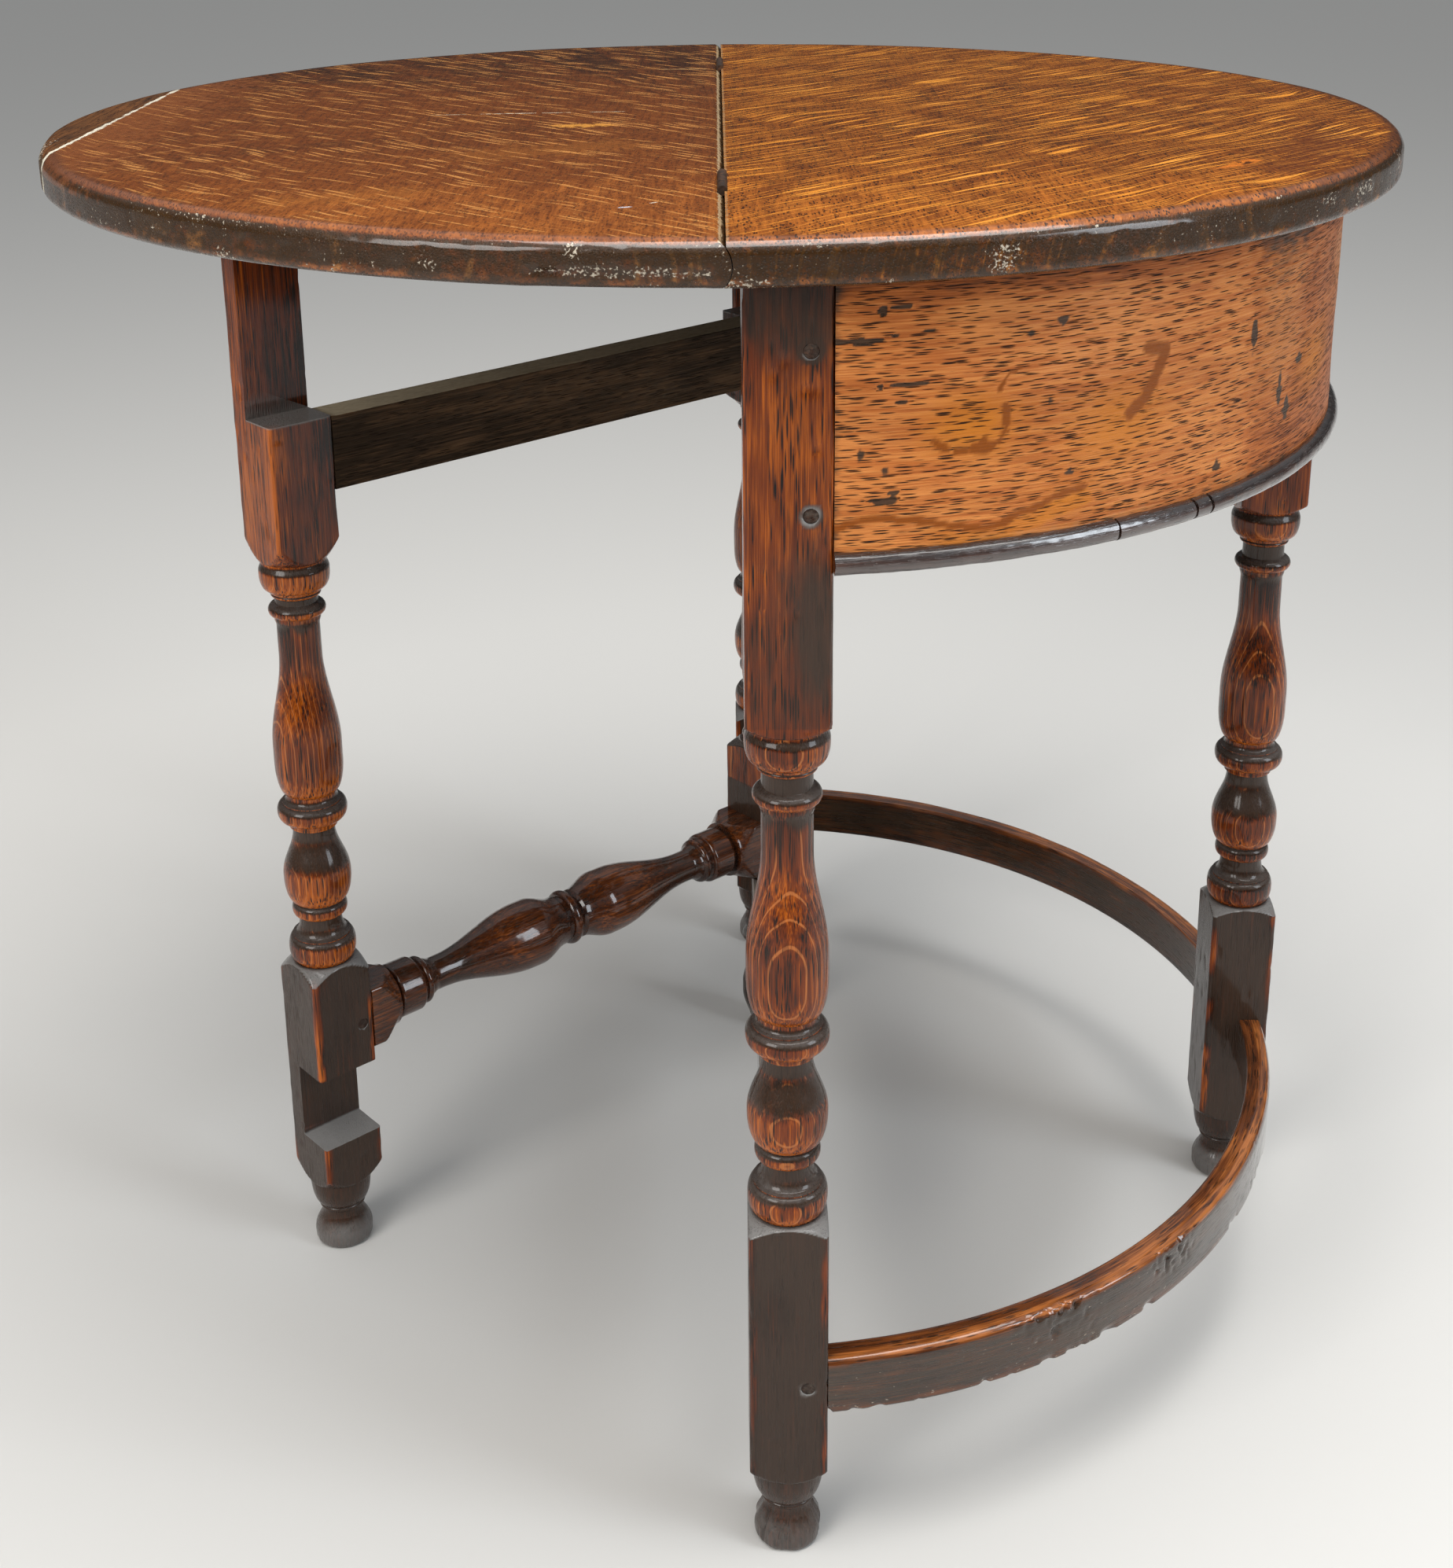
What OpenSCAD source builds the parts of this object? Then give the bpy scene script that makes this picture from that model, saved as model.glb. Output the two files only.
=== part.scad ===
// Half-round fold-over table: a fixed leaf on three turned legs, a folding leaf, and one gate leg.
// Origin: middle of the hinge line, on the floor. X to the fixed leaf, Y along the hinge line, Z up.

/* [Top] */
// Height of the top surface above the floor
top_h = 720; // [660:1:780]
// Radius of each half-round leaf
leaf_r = 380; // [370:1:400]
// Thickness of both leaves
leaf_t = 21; // [18:0.5:24]
// Radius of the worn upper arris of the leaf edge
arris_top_r = 7; // [3:0.5:9]
// Radius of the lower arris of the leaf edge
arris_low_r = 4; // [2:0.5:6]
// Width of the outer segment that is glued to the flap
strip_w = 30; // [20:1:40]
// Reach of the flap's rounded tongue past the hinge line
tongue_reach = 3.4; // [2.6:0.1:4]
// Radius of the flap's rounded tongue
tongue_r = 13; // [12.8:0.1:14]
// Clearance round the tongue in the hollow of the fixed leaf
tongue_gap = 0.4; // [0.3:0.1:0.8]
// Width of the open joint at the top surface, on the fixed side
joint_w = 1; // [0.8:0.1:2]

/* [Hinges] */
// Distance from the middle of the table to each hinge
hinge_y = 240; // [180:5:300]
// Length of each hinge
hinge_len = 48; // [40:1:70]
// Height of each hinge plate
hinge_plate_h = 16.5; // [14:0.5:17]
// Thickness of each hinge plate
hinge_plate_t = 1.6; // [1.2:0.1:1.8]
// Radius of the hinge knuckle
knuckle_r = 2.4; // [2.2:0.1:2.6]
// Radius of the hinge pin
hinge_pin_r = 1.2; // [1:0.1:1.4]
// Radial clearance of the hinge pin in its knuckles
hinge_pin_gap = 0.05; // [0.02:0.01:0.1]
// Gap between one knuckle and the next
knuckle_gap = 0.3; // [0.2:0.1:0.6]
// Radius of the shank of each hinge screw
screw_r = 1.7; // [1.4:0.1:2]
// Length of each hinge screw
screw_len = 16; // [12:1:20]
// Radius of the head of each hinge screw
screw_head_r = 3.2; // [2.8:0.1:3.6]

/* [Legs] */
// Width of the square parts of every leg
leg_w = 41; // [38:1:44]
// Distance from the hinge line to the middle of the back frame
frame_x = 28; // [27:0.5:34]
// Setback of the front and rear legs from the face of the frieze
leg_set = 0.5; // [0:0.1:2]
// Height of the foot, up to the shoulder under the lower square
foot_h = 48; // [42:1:56]
// Height of the top of the lower square
low_block_top = 201; // [196:1:206]
// Height of the bottom of the upper square
high_block_low = 478; // [474:1:484]
// Radius of the fullest part of the turned work
turned_r = 20.5; // [18:0.25:21]
// Radius of the thin necks of the turned work
neck_r = 12.5; // [10:0.25:14]

/* [Frieze] */
// Overhang of the fixed leaf past the bow of the frieze
overhang = 28; // [24:1:34]
// Distance from the hinge line to the centre of the frieze curve
curve_x = 12; // [10:0.5:14]
// Thickness of the frieze
frieze_t = 22; // [19:0.5:24]
// Height of the frieze
frieze_h = 141; // [130:1:144]
// Height of the half-round moulding along the foot of the frieze
bead_h = 11; // [8:0.5:13]
// Gap left between the broken lengths of moulding
bead_gap = 1.1; // [0.6:0.1:2]
// Angle of the break between the first and second front lengths
bead_break_1 = -60; // [-66:0.5:-56]
// Angle of the break between the second length and the small patch
bead_break_2 = -51.5; // [-53:0.5:-51]
// Angle of the break between the small patch and the bow length
bead_break_3 = -49.5; // [-50:0.5:-46]
// Thickness of the straight back rail
rail_t = 20; // [18:0.5:21]

/* [Low stretchers] */
// Height of the underside of the curved stretchers
stretcher_low = 93; // [90:1:98]
// Height of the section of the curved stretchers
stretcher_h = 33; // [28:1:34]
// Thickness of the curved stretchers
stretcher_t = 14.5; // [12:0.5:17]
// Setback of the curved stretchers from the face of the frieze
stretcher_back = 1.5; // [1:0.5:4]
// Height of the underside of the straight back stretcher
back_low = 84; // [82:1:86]
// Height of the section of the straight back stretcher
back_h = 46; // [40:1:46]

/* [Gate] */
// Distance from the pivot to the middle of the gate leg
gate_len = 377; // [340:1:390]
// Distance of the pivot from the middle of the table, along the hinge line
pivot_y = 187; // [170:1:200]
// Angle of the gate as it stands, from the line of the back frame
gate_open = 48.5; // [40:0.5:55]
// Height of the section of the gate rail
gate_rail_h = 45; // [38:1:50]
// Thickness of the gate rail
gate_rail_t = 24; // [18:0.5:26]
// Wood left in the gate leg beside its notches
notch_web = 14.8; // [12:0.2:15.2]
// Clearance above and below the rails in the notches of the gate leg
notch_gap = 2; // [1:0.5:3]
// Height of the middle of the turned gate stretcher
turned_z = 161; // [158:1:164]
// Fullest radius of the turned gate stretcher
vase_r = 23; // [18:0.5:24]
// Height of the square ends of the turned gate stretcher
turned_end_h = 42; // [36:1:44]
// Radius of the round pivots of the gate post
pivot_r = 7; // [5:0.5:7.5]
// Radial clearance of the pivots in their holes
pivot_gap = 0.08; // [0.03:0.01:0.1]
// Height of the top of the lower square of the gate post
post_low_top = 238; // [225:1:250]
// Height of the bottom of the upper square of the gate post
post_high_low = 494; // [484:1:500]
// Radius of the fullest part of the gate post
post_turned_r = 16.5; // [14:0.5:19]

/* [Joinery] */
// Length of the tenons of the back rail and the back stretcher
tenon_len = 24; // [18:1:26]
// Thickness of the tenons of the straight rails
tenon_t = 9; // [7:0.5:10]
// Length of the tenons of the curved pieces
curved_tenon_len = 14; // [10:1:15]
// Thickness of the tenons of the curved pieces
curved_tenon_t = 6; // [5:0.5:8]
// Depth of the shoulder above and below each tenon
tenon_shoulder = 6; // [4:0.5:10]
// Clearance round each tenon and peg
fit_gap = 0.05; // [0.02:0.01:0.1]
// Radius of the oak pegs
peg_r = 3.5; // [3:0.25:4]
// Length of the oak pegs
peg_len = 30; // [24:1:34]
// Length of each glue block under the top
block_len = 62; // [40:1:80]
// Width of each leg of the glue blocks
block_w = 20; // [14:1:24]

/* [Hidden] */
$fn = 96;

eps = 0.01;
seat_gap = 0.3;                 // running gap under a leaf and at the ends of the gate post
axis_lift = 0.15;               // hinge axis above the top, so the folded leaves lie just clear
pocket_low = 0.5;               // depth of each hinge pocket below its plate
half_w = leg_w / 2;
side_x = frame_x + half_w;      // face of the front and rear legs where the curved pieces meet them
frieze_r = leaf_r - overhang - curve_x;
leg_y = -meet_y(frieze_r) - half_w - leg_set;
leaf_low = top_h - leaf_t;      // underside of the leaves, top of the frame
frieze_low = leaf_low - frieze_h;
back_top = back_low + back_h;
frieze_in_r = frieze_r - frieze_t;
leg_proud = 2.5;                // the bow leg stands this far out past the frieze
bow_x = curve_x + frieze_r + leg_proud - half_w;
stretcher_r = frieze_r - stretcher_back;
rail_step = 1;                  // the back rail stops this far above the foot of the frieze
rail_low = frieze_low + rail_step;
gate_leg_top = leaf_low - seat_gap;
notch_low = back_low - notch_gap;
notch_top = back_top + notch_gap;
post_low = back_top + seat_gap;
post_high = rail_low - seat_gap;
tongue_drop = 1;                // the tongue's middle lies this far below the middle of the flap
tongue_z = top_h - leaf_t / 2 - tongue_drop;
joint_depth = 4;                // depth of the open V of the joint
tongue_x = tongue_reach - tongue_r;
corner_r = half_w * sqrt(2) + 0.5;
shoulder_r = turned_r - 1.2;    // radius where a rounded square meets the turning
round_h = 9;                    // height over which the corners of a square are turned away
wood_dark = "#5a3018";
wood_top = "#7f4a20";
wood_frieze = "#9c5528";
wood_leg = "#7a3a18";
iron = "#2f2b28";
oak_peg = "#4a2a16";

// Place along Y where a curve of radius r meets the side of the front leg
function meet_y(r) = -sqrt(r * r - (side_x - curve_x) * (side_x - curve_x));

// Points of an arc, from one angle to another, in n steps
function arc(cx, cy, r, from, to, n) =
    [for (i = [0 : n]) let (a = from + (to - from) * i / n) [cx + r * cos(a), cy + r * sin(a)]];

// Points of a smooth S-curve from one radius and height to another
function ease(r0, z0, r1, z1, n) =
    [for (i = [0 : n]) let (t = i / n) [r0 + (r1 - r0) * (1 - cos(180 * t)) / 2, z0 + (z1 - z0) * t]];

// Points of a swelling from a neck up to its fullest radius and back
function swell(r0, z0, r1, z1, r2, z2, n) = concat(ease(r0, z0, r1, z1, n), ease(r1, z1, r2, z2, n));

// Outline of the turned shaft of a leg, from the lower square to the upper square
base_z = low_block_top;
shaft_h = high_block_low - low_block_top;
shaft_unit = shaft_h / 277;     // the shaft is laid out on 277 equal parts
function shaft_z(part) = base_z + part * shaft_unit;
shaft_points = concat(
    [[0, base_z - 4], [turned_r - 1, base_z - 4]],
    arc(turned_r - 4.5, shaft_z(5.5), 5 * shaft_unit, -90, 90, 8),
    ease(turned_r - 4.5, shaft_z(10.5), turned_r - 1.8, shaft_z(19), 4),
    ease(turned_r - 2.2, shaft_z(20.5), neck_r, shaft_z(28), 5),
    ease(neck_r, shaft_z(33), neck_r + 2.5, shaft_z(36), 2),
    arc(neck_r + 0.8, shaft_z(39), 3 * shaft_unit, -90, 90, 6),
    ease(neck_r + 1.5, shaft_z(42.5), turned_r, shaft_z(63), 7),
    ease(turned_r, shaft_z(66), neck_r + 1.2, shaft_z(87), 7),
    ease(neck_r + 1, shaft_z(90), turned_r - 3, shaft_z(94), 3),
    arc(turned_r - 4, shaft_z(101), 4.8 * shaft_unit, -75, 60, 8),
    [[turned_r - 3.2, shaft_z(107)]],
    arc(turned_r - 4.8, shaft_z(111), 3.6 * shaft_unit, -60, 90, 6),
    ease(turned_r - 5.6, shaft_z(115), turned_r, shaft_z(136), 6),
    ease(turned_r, shaft_z(150), neck_r + 0.2, shaft_z(208), 12),
    ease(neck_r, shaft_z(228), neck_r + 1.4, shaft_z(232), 2),
    arc(neck_r + 0.6, shaft_z(236.5), 3.8 * shaft_unit, -80, 90, 6),
    ease(neck_r + 0.4, shaft_z(241), neck_r + 1.2, shaft_z(247), 3),
    [[turned_r - 3, shaft_z(249)]],
    ease(turned_r - 1.6, shaft_z(252), turned_r + 0.4, shaft_z(262), 4),
    ease(turned_r + 0.4, shaft_z(264), turned_r - 2, shaft_z(273), 4),
    [[turned_r - 2.5, high_block_low + 4], [0, high_block_low + 4]]
);

// Outline of a turned foot, from the floor up into the lower square
foot_r = turned_r - 1.6;
foot_points = concat(
    [[0, 0], [foot_r - 3.5, 0]],
    arc(foot_r - 3.5, 3.5, 3.5, -90, 0, 4),
    ease(foot_r, 7, foot_r - 1.5, 15, 4),
    arc(foot_r - 3.8, 18, 2.8, -40, 90, 5),
    ease(neck_r + 1.6, 21.5, neck_r + 1, 28, 3),
    ease(neck_r + 1.2, 31, turned_r - 0.4, foot_h - 3, 6),
    [[turned_r - 0.4, foot_h + 4], [0, foot_h + 4]]
);

// Outline that rounds the corners of a square where it meets the turning
function square_outline(low, high, round_top) = concat(
    [[0, low], [shoulder_r, low]],
    ease(shoulder_r, low, corner_r, low + round_h, 6),
    round_top ? ease(corner_r, high - round_h, shoulder_r, high, 6) : [[corner_r, high + 1]],
    [[0, round_top ? high : high + 1]]
);

module turned(points) {
    rotate_extrude() polygon(points);
}

// Square length of a leg with its corners turned away at one or both ends
module square_length(low, high, round_top = true) {
    intersection() {
        translate([-half_w, -half_w, low])
            cube([leg_w, leg_w, high - low]);
        turned(square_outline(low, high, round_top));
    }
}

// A whole leg on its own axis, with a square up to the given height
module leg(high) {
    turned(foot_points);
    square_length(foot_h, low_block_top);
    turned(shaft_points);
    square_length(high_block_low, high, false);
}

// Half-round board with both arrises eased, on the +X side
module half_leaf() {
    rotate([0, 0, -90])
        rotate_extrude(angle = 180, $fn = 360)
            leaf_section($fn = 96);
}

module leaf_section() {
    square([leaf_r - arris_top_r, leaf_t]);
    square([leaf_r - arris_low_r, leaf_t - arris_top_r]);
    translate([0, arris_low_r])
        square([leaf_r, leaf_t - arris_top_r - arris_low_r]);
    translate([leaf_r - arris_top_r, leaf_t - arris_top_r])
        circle(arris_top_r);
    translate([leaf_r - arris_low_r, arris_low_r])
        circle(arris_low_r);
}

// Straight bar along the hinge line, from a section drawn in X and Z
module along_joint(length) {
    rotate([90, 0, 0])
        linear_extrude(length, center = true)
            children();
}

// Pockets for the two hinges on one side: side is 1 for the table, -1 for the flap
module hinge_pockets(side) {
    over = tongue_reach + 1;
    pocket_len = hinge_len + 2 * seat_gap;
    for (y = [-hinge_y, hinge_y])
        translate([side > 0 ? -over : -plate_face, y - pocket_len / 2, top_h - hinge_plate_h - pocket_low])
            cube([over + plate_face, pocket_len, hinge_plate_h + pocket_low + 1]);
}

// Screw positions on one hinge plate
screw_y = hinge_len * 0.3;
screw_z = -hinge_plate_h * 0.55;
screw_spots = [[-screw_y, screw_z], [screw_y, screw_z]];

// Holes for the screws of both hinges on one side
module screw_holes(side) {
    for (y = [-hinge_y, hinge_y], s = screw_spots)
        translate([0, y + s[0], top_h + s[1]])
            rotate([0, side * 90, 0])
                cylinder(r = screw_r + fit_gap, h = screw_len + plate_face + 1);
}

module fixed_leaf() {
    color(wood_top)
    difference() {
        translate([0, 0, leaf_low])
            half_leaf();
        along_joint(2 * leaf_r)
            translate([tongue_x, tongue_z])
                circle(tongue_r + tongue_gap);
        along_joint(2 * leaf_r)
            polygon([
                [-joint_w, top_h + 1], [joint_w, top_h + 1], [joint_w, top_h - 1],
                [-joint_w / 2, top_h - joint_depth], [-joint_w, top_h - joint_depth]
            ]);
        hinge_pockets(1);
        screw_holes(1);
    }
}

// The flap before its outer segment is divided off
module whole_flap() {
    intersection() {
        union() {
            translate([0, 0, leaf_low])
                mirror([1, 0, 0])
                    half_leaf();
            translate([-eps, -leaf_r + tongue_reach, leaf_low])
                cube([tongue_reach + eps, 2 * (leaf_r - tongue_reach), leaf_t]);
        }
        union() {
            along_joint(2 * leaf_r)
                translate([tongue_x, tongue_z])
                    circle(tongue_r);
            translate([-leaf_r, -leaf_r, leaf_low])
                cube([leaf_r + tongue_x, 2 * leaf_r, leaf_t]);
        }
    }
}

module flap_board() {
    color(wood_top)
    difference() {
        whole_flap();
        hinge_pockets(-1);
        screw_holes(-1);
        translate([-2 * leaf_r, -leaf_r, leaf_low - 1])
            cube([leaf_r + strip_w, 2 * leaf_r, leaf_t + 2]);
    }
}

module flap_strip() {
    color(wood_dark)
    intersection() {
        whole_flap();
        translate([-2 * leaf_r, -leaf_r, leaf_low - 1])
            cube([leaf_r + strip_w, 2 * leaf_r, leaf_t + 2]);
    }
}

// A hinge has three knuckles: two on the table's plate and one on the flap's
knuckle_len = (hinge_len - 2 * knuckle_gap) / 3;
knuckle_step = knuckle_len + knuckle_gap;
axis_z = top_h + axis_lift;
plate_face = knuckle_r;         // outer face of each plate, seated in its pocket
plate_drop = 0.6;               // drop of the plain part of a plate below the other half's knuckles

module knuckle(step) {
    translate([0, step * knuckle_step + knuckle_len / 2, axis_z])
        rotate([90, 0, 0])
            cylinder(r = knuckle_r, h = knuckle_len);
}

// Hinge plate with its knuckles: side is 1 for the table, -1 for the flap
module hinge_plate(side, y, steps) {
    inner = plate_face - hinge_plate_t;
    low_x = side > 0 ? inner : -plate_face;
    leaf_h = hinge_plate_h - knuckle_r - plate_drop;
    color(iron)
    translate([0, y, 0])
    difference() {
        union() {
            translate([low_x, -hinge_len / 2, top_h - hinge_plate_h])
                cube([hinge_plate_t, hinge_len, leaf_h]);
            for (s = steps) {
                knuckle(s);
                translate([low_x, s * knuckle_step - knuckle_len / 2, top_h - hinge_plate_h + leaf_h / 2])
                    cube([hinge_plate_t, knuckle_len, hinge_plate_h - leaf_h / 2 + axis_lift]);
            }
        }
        translate([0, hinge_len, axis_z])
            rotate([90, 0, 0])
                cylinder(r = hinge_pin_r + hinge_pin_gap, h = 2 * hinge_len);
        for (s = screw_spots)
            translate([side * (inner - eps), s[0], top_h + s[1]])
                rotate([0, side * 90, 0]) {
                    cylinder(r = screw_r + fit_gap, h = 2 * hinge_plate_t);
                    cylinder(r1 = screw_head_r + fit_gap, r2 = screw_r + fit_gap, h = hinge_plate_t);
                }
    }
}

module hinge_pin(y) {
    color(iron)
    translate([0, y + hinge_len / 2, axis_z])
        rotate([90, 0, 0])
            cylinder(r = hinge_pin_r, h = hinge_len);
}

module hinge_screws(side) {
    inner = plate_face - hinge_plate_t;
    color(iron)
    for (y = [-hinge_y, hinge_y], s = screw_spots)
        translate([side * inner, y + s[0], top_h + s[1]])
            rotate([0, side * 90, 0]) {
                cylinder(r1 = screw_head_r, r2 = screw_r, h = hinge_plate_t);
                cylinder(r = screw_r, h = screw_len);
            }
}

module front_hinge_table_plate() { hinge_plate(1, -hinge_y, [-1, 1]); }
module front_hinge_flap_plate() { hinge_plate(-1, -hinge_y, [0]); }
module front_hinge_pin() { hinge_pin(-hinge_y); }
module rear_hinge_table_plate() { hinge_plate(1, hinge_y, [-1, 1]); }
module rear_hinge_flap_plate() { hinge_plate(-1, hinge_y, [0]); }
module rear_hinge_pin() { hinge_pin(hinge_y); }
module table_hinge_screws() { hinge_screws(1); }
module flap_hinge_screws() { hinge_screws(-1); }

// Tenon of a straight back piece at the front end, or its mortise with the gap added
module back_tenon(low, high, gap) {
    tenon_h = high - low - 2 * tenon_shoulder;
    translate([frame_x - tenon_t / 2 - gap, -leg_y + half_w - tenon_len - gap, low + tenon_shoulder - gap])
        cube([tenon_t + 2 * gap, tenon_len + 2 * gap, tenon_h + 2 * gap]);
}

// Tenon of a curved piece in the side of the front leg, or its mortise
module side_tenon(r, t, low, high, gap) {
    mid_y = (meet_y(r) + meet_y(r - t)) / 2;
    tenon_h = high - low - 2 * tenon_shoulder;
    translate([side_x - curved_tenon_len - gap, mid_y - curved_tenon_t / 2 - gap, low + tenon_shoulder - gap])
        cube([curved_tenon_len + 2 * gap + 1, curved_tenon_t + 2 * gap, tenon_h + 2 * gap]);
}

// Tenon of the curved stretcher in the front face of the bow leg, or its mortise
module bow_tenon(gap) {
    end_x = curve_x + sqrt(stretcher_r * stretcher_r - half_w * half_w) - stretcher_t / 2;
    tenon_h = stretcher_h - 2 * tenon_shoulder;
    translate([end_x - curved_tenon_t / 2 - gap, -half_w - 1, stretcher_low + tenon_shoulder - gap])
        cube([curved_tenon_t + 2 * gap, curved_tenon_len + 1 + gap, tenon_h + 2 * gap]);
}

// Pegs of the front corner, each with its axis along Y: the two of the frieze, then the stretcher's
peg_in = 10.5;                  // distance of these pegs behind the shoulder of the curved pieces
peg_x = side_x - peg_in;
peg_down = 37;                  // upper frieze peg below the underside of the top
peg_up = 28;                    // lower frieze peg above the foot of the frieze
peg_heights = [leaf_low - peg_down, frieze_low + peg_up, stretcher_low + stretcher_h / 2];

module corner_pegs(gap, length) {
    for (z = peg_heights)
        translate([peg_x, -leg_y - half_w, z])
            rotate([-90, 0, 0])
                cylinder(r = peg_r + gap, h = length);
}

module front_leg() {
    color(wood_leg)
    difference() {
        translate([frame_x, -leg_y, 0])
            leg(leaf_low);
        back_tenon(rail_low, leaf_low, fit_gap);
        back_tenon(back_low, back_top, fit_gap);
        side_tenon(frieze_r, frieze_t, frieze_low, leaf_low, fit_gap);
        side_tenon(stretcher_r, stretcher_t, stretcher_low, stretcher_low + stretcher_h, fit_gap);
        translate([0, -1, 0])
            corner_pegs(fit_gap, peg_len + 1 + fit_gap);
    }
}

module rear_leg() {
    mirror([0, 1, 0])
        front_leg();
}

// The bow leg stands under the frieze, with a tongue behind it up to the top
module bow_leg() {
    color(wood_leg)
    difference() {
        translate([bow_x, 0, 0])
            leg(leaf_low);
        difference() {
            translate([bow_x - leg_w, -leg_w, frieze_low])
                cube([2 * leg_w, 2 * leg_w, frieze_h + 1]);
            translate([curve_x, 0, frieze_low - 1])
                cylinder(r = frieze_in_r, h = frieze_h + 3, $fn = 360);
        }
        bow_tenon(fit_gap);
        mirror([0, 1, 0])
            bow_tenon(fit_gap);
    }
}

// Quarter curve from the side of the front leg round to the bow, as a bar of the given section
module quarter_curve(r, t, low, h, end_y) {
    translate([curve_x, 0, low])
        intersection() {
            rotate([0, 0, -90])
                rotate_extrude(angle = 90, $fn = 360)
                    translate([r - t, 0])
                        square([t, h]);
            translate([side_x - curve_x, -r - 1, 0])
                cube([r + 1, r + 1 - end_y, h]);
        }
}

module front_frieze() {
    color(wood_frieze)
    difference() {
        union() {
            quarter_curve(frieze_r, frieze_t, frieze_low, frieze_h, 0);
            side_tenon(frieze_r, frieze_t, frieze_low, leaf_low, 0);
        }
        corner_pegs(fit_gap, peg_len + fit_gap);
    }
}

module rear_frieze() {
    mirror([0, 1, 0])
        front_frieze();
}

// Half-round moulding on the foot of the frieze, between two angles
module bead(from, to) {
    color(wood_dark)
    translate([curve_x, 0, frieze_low + bead_h / 2])
        intersection() {
            rotate([0, 0, from])
                rotate_extrude(angle = to - from, $fn = 360)
                    difference() {
                        translate([frieze_r, 0])
                            circle(bead_h / 2, $fn = 48);
                        translate([frieze_r - bead_h, -bead_h])
                            square([bead_h, 2 * bead_h]);
                    }
            translate([side_x - curve_x, -2 * frieze_r, -bead_h])
                cube([2 * frieze_r, 4 * frieze_r, 2 * bead_h]);
        }
}

bead_gap_angle = bead_gap / frieze_r * 180 / PI;
module bead_front_long() { bead(-90, bead_break_1); }
module bead_front_short() { bead(bead_break_1 + bead_gap_angle / 2, bead_break_2); }
module bead_patch() { bead(bead_break_2 + bead_gap_angle, bead_break_3); }
module bead_bow() { bead(bead_break_3 + bead_gap_angle, 0); }
module bead_rear() { bead(0, 90); }

module front_stretcher() {
    color(wood_dark)
    difference() {
        union() {
            quarter_curve(stretcher_r, stretcher_t, stretcher_low, stretcher_h, half_w);
            side_tenon(stretcher_r, stretcher_t, stretcher_low, stretcher_low + stretcher_h, 0);
            bow_tenon(0);
        }
        corner_pegs(fit_gap, peg_len + fit_gap);
    }
}

module rear_stretcher() {
    mirror([0, 1, 0])
        front_stretcher();
}

// Straight rail between the front and rear legs, with a bore where the gate post turns
module straight_rail(low, high, bore_from, bore_to) {
    difference() {
        union() {
            translate([frame_x - rail_t / 2, -leg_y + half_w, low])
                cube([rail_t, 2 * (leg_y - half_w), high - low]);
            back_tenon(low, high, 0);
            mirror([0, 1, 0])
                back_tenon(low, high, 0);
        }
        translate([frame_x, pivot_y, bore_from])
            cylinder(r = pivot_r + pivot_gap, h = bore_to - bore_from);
    }
}

pivot_depth = 30;               // length of the upper pivot inside the back rail

module back_rail() {
    color(wood_dark)
    straight_rail(rail_low, leaf_low, rail_low - 1, rail_low + pivot_depth + 1);
}

module back_stretcher() {
    color(wood_dark)
    straight_rail(back_low, back_top, back_low - 1, back_top + 1);
}

// Three-cornered blocks glued between the frame and the underside of the fixed leaf
module glue_block() {
    rotate([90, 0, 0])
        linear_extrude(block_len, center = true)
            polygon([[0, 0], [block_w, 0], [0, -block_w]]);
}

module glue_blocks() {
    inner_x = frame_x + rail_t / 2;
    color(wood_dark) {
        for (side = [-1, 1])
            translate([inner_x, side * leg_y / 2, leaf_low])
                glue_block();
        for (a = [-45, 45])
            intersection() {
                translate([curve_x, 0, leaf_low - block_w])
                    cylinder(r = frieze_in_r, h = block_w, $fn = 360);
                translate([curve_x, 0, leaf_low])
                    rotate([0, 0, a])
                        translate([frieze_in_r, 0, 0])
                            mirror([1, 0, 0])
                                glue_block();
            }
    }
}

module frame_pegs() {
    color(oak_peg)
    for (side = [0, 1])
        mirror([0, side, 0])
            corner_pegs(0, peg_len);
}

// Everything on the gate is drawn closed, along -Y from the pivot, and then swung open
module swung() {
    translate([frame_x, pivot_y, 0])
        rotate([0, 0, -gate_open])
            children();
}

gate_peg_in = 8;                // distance of the gate pegs behind the shoulder of the stretcher
gate_peg_reach = half_w - gate_peg_in;

module gate_peg(y, gap, extra) {
    translate([half_w + extra, y, turned_z])
        rotate([0, -90, 0])
            cylinder(r = peg_r + gap, h = peg_len + extra);
}

// Tenon or mortise at the end of a gate piece: dir is 1 where it points along +Y
module gate_tenon(y, dir, width, low, high, gap) {
    translate([-width / 2 - gap, dir > 0 ? y - 1 : y - curved_tenon_len - gap, low - gap])
        cube([width + 2 * gap, curved_tenon_len + 1 + gap, high - low + 2 * gap]);
}

gate_rail_x = half_w - gate_rail_t;
gate_rail_top = frieze_low;
gate_rail_low = gate_rail_top - gate_rail_h;

module rail_tenons(gap) {
    low = gate_rail_low + tenon_shoulder;
    high = gate_rail_top - tenon_shoulder;
    translate([gate_rail_x + gate_rail_t / 2, 0, 0]) {
        gate_tenon(-half_w, 1, tenon_t, low, high, gap);
        gate_tenon(-gate_len + half_w, -1, tenon_t, low, high, gap);
    }
}

module turned_tenons(gap) {
    low = turned_z - turned_end_h / 4;
    high = turned_z + turned_end_h / 4;
    gate_tenon(-half_w, 1, tenon_t, low, high, gap);
    gate_tenon(-gate_len + half_w, -1, tenon_t, low, high, gap);
}

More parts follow.
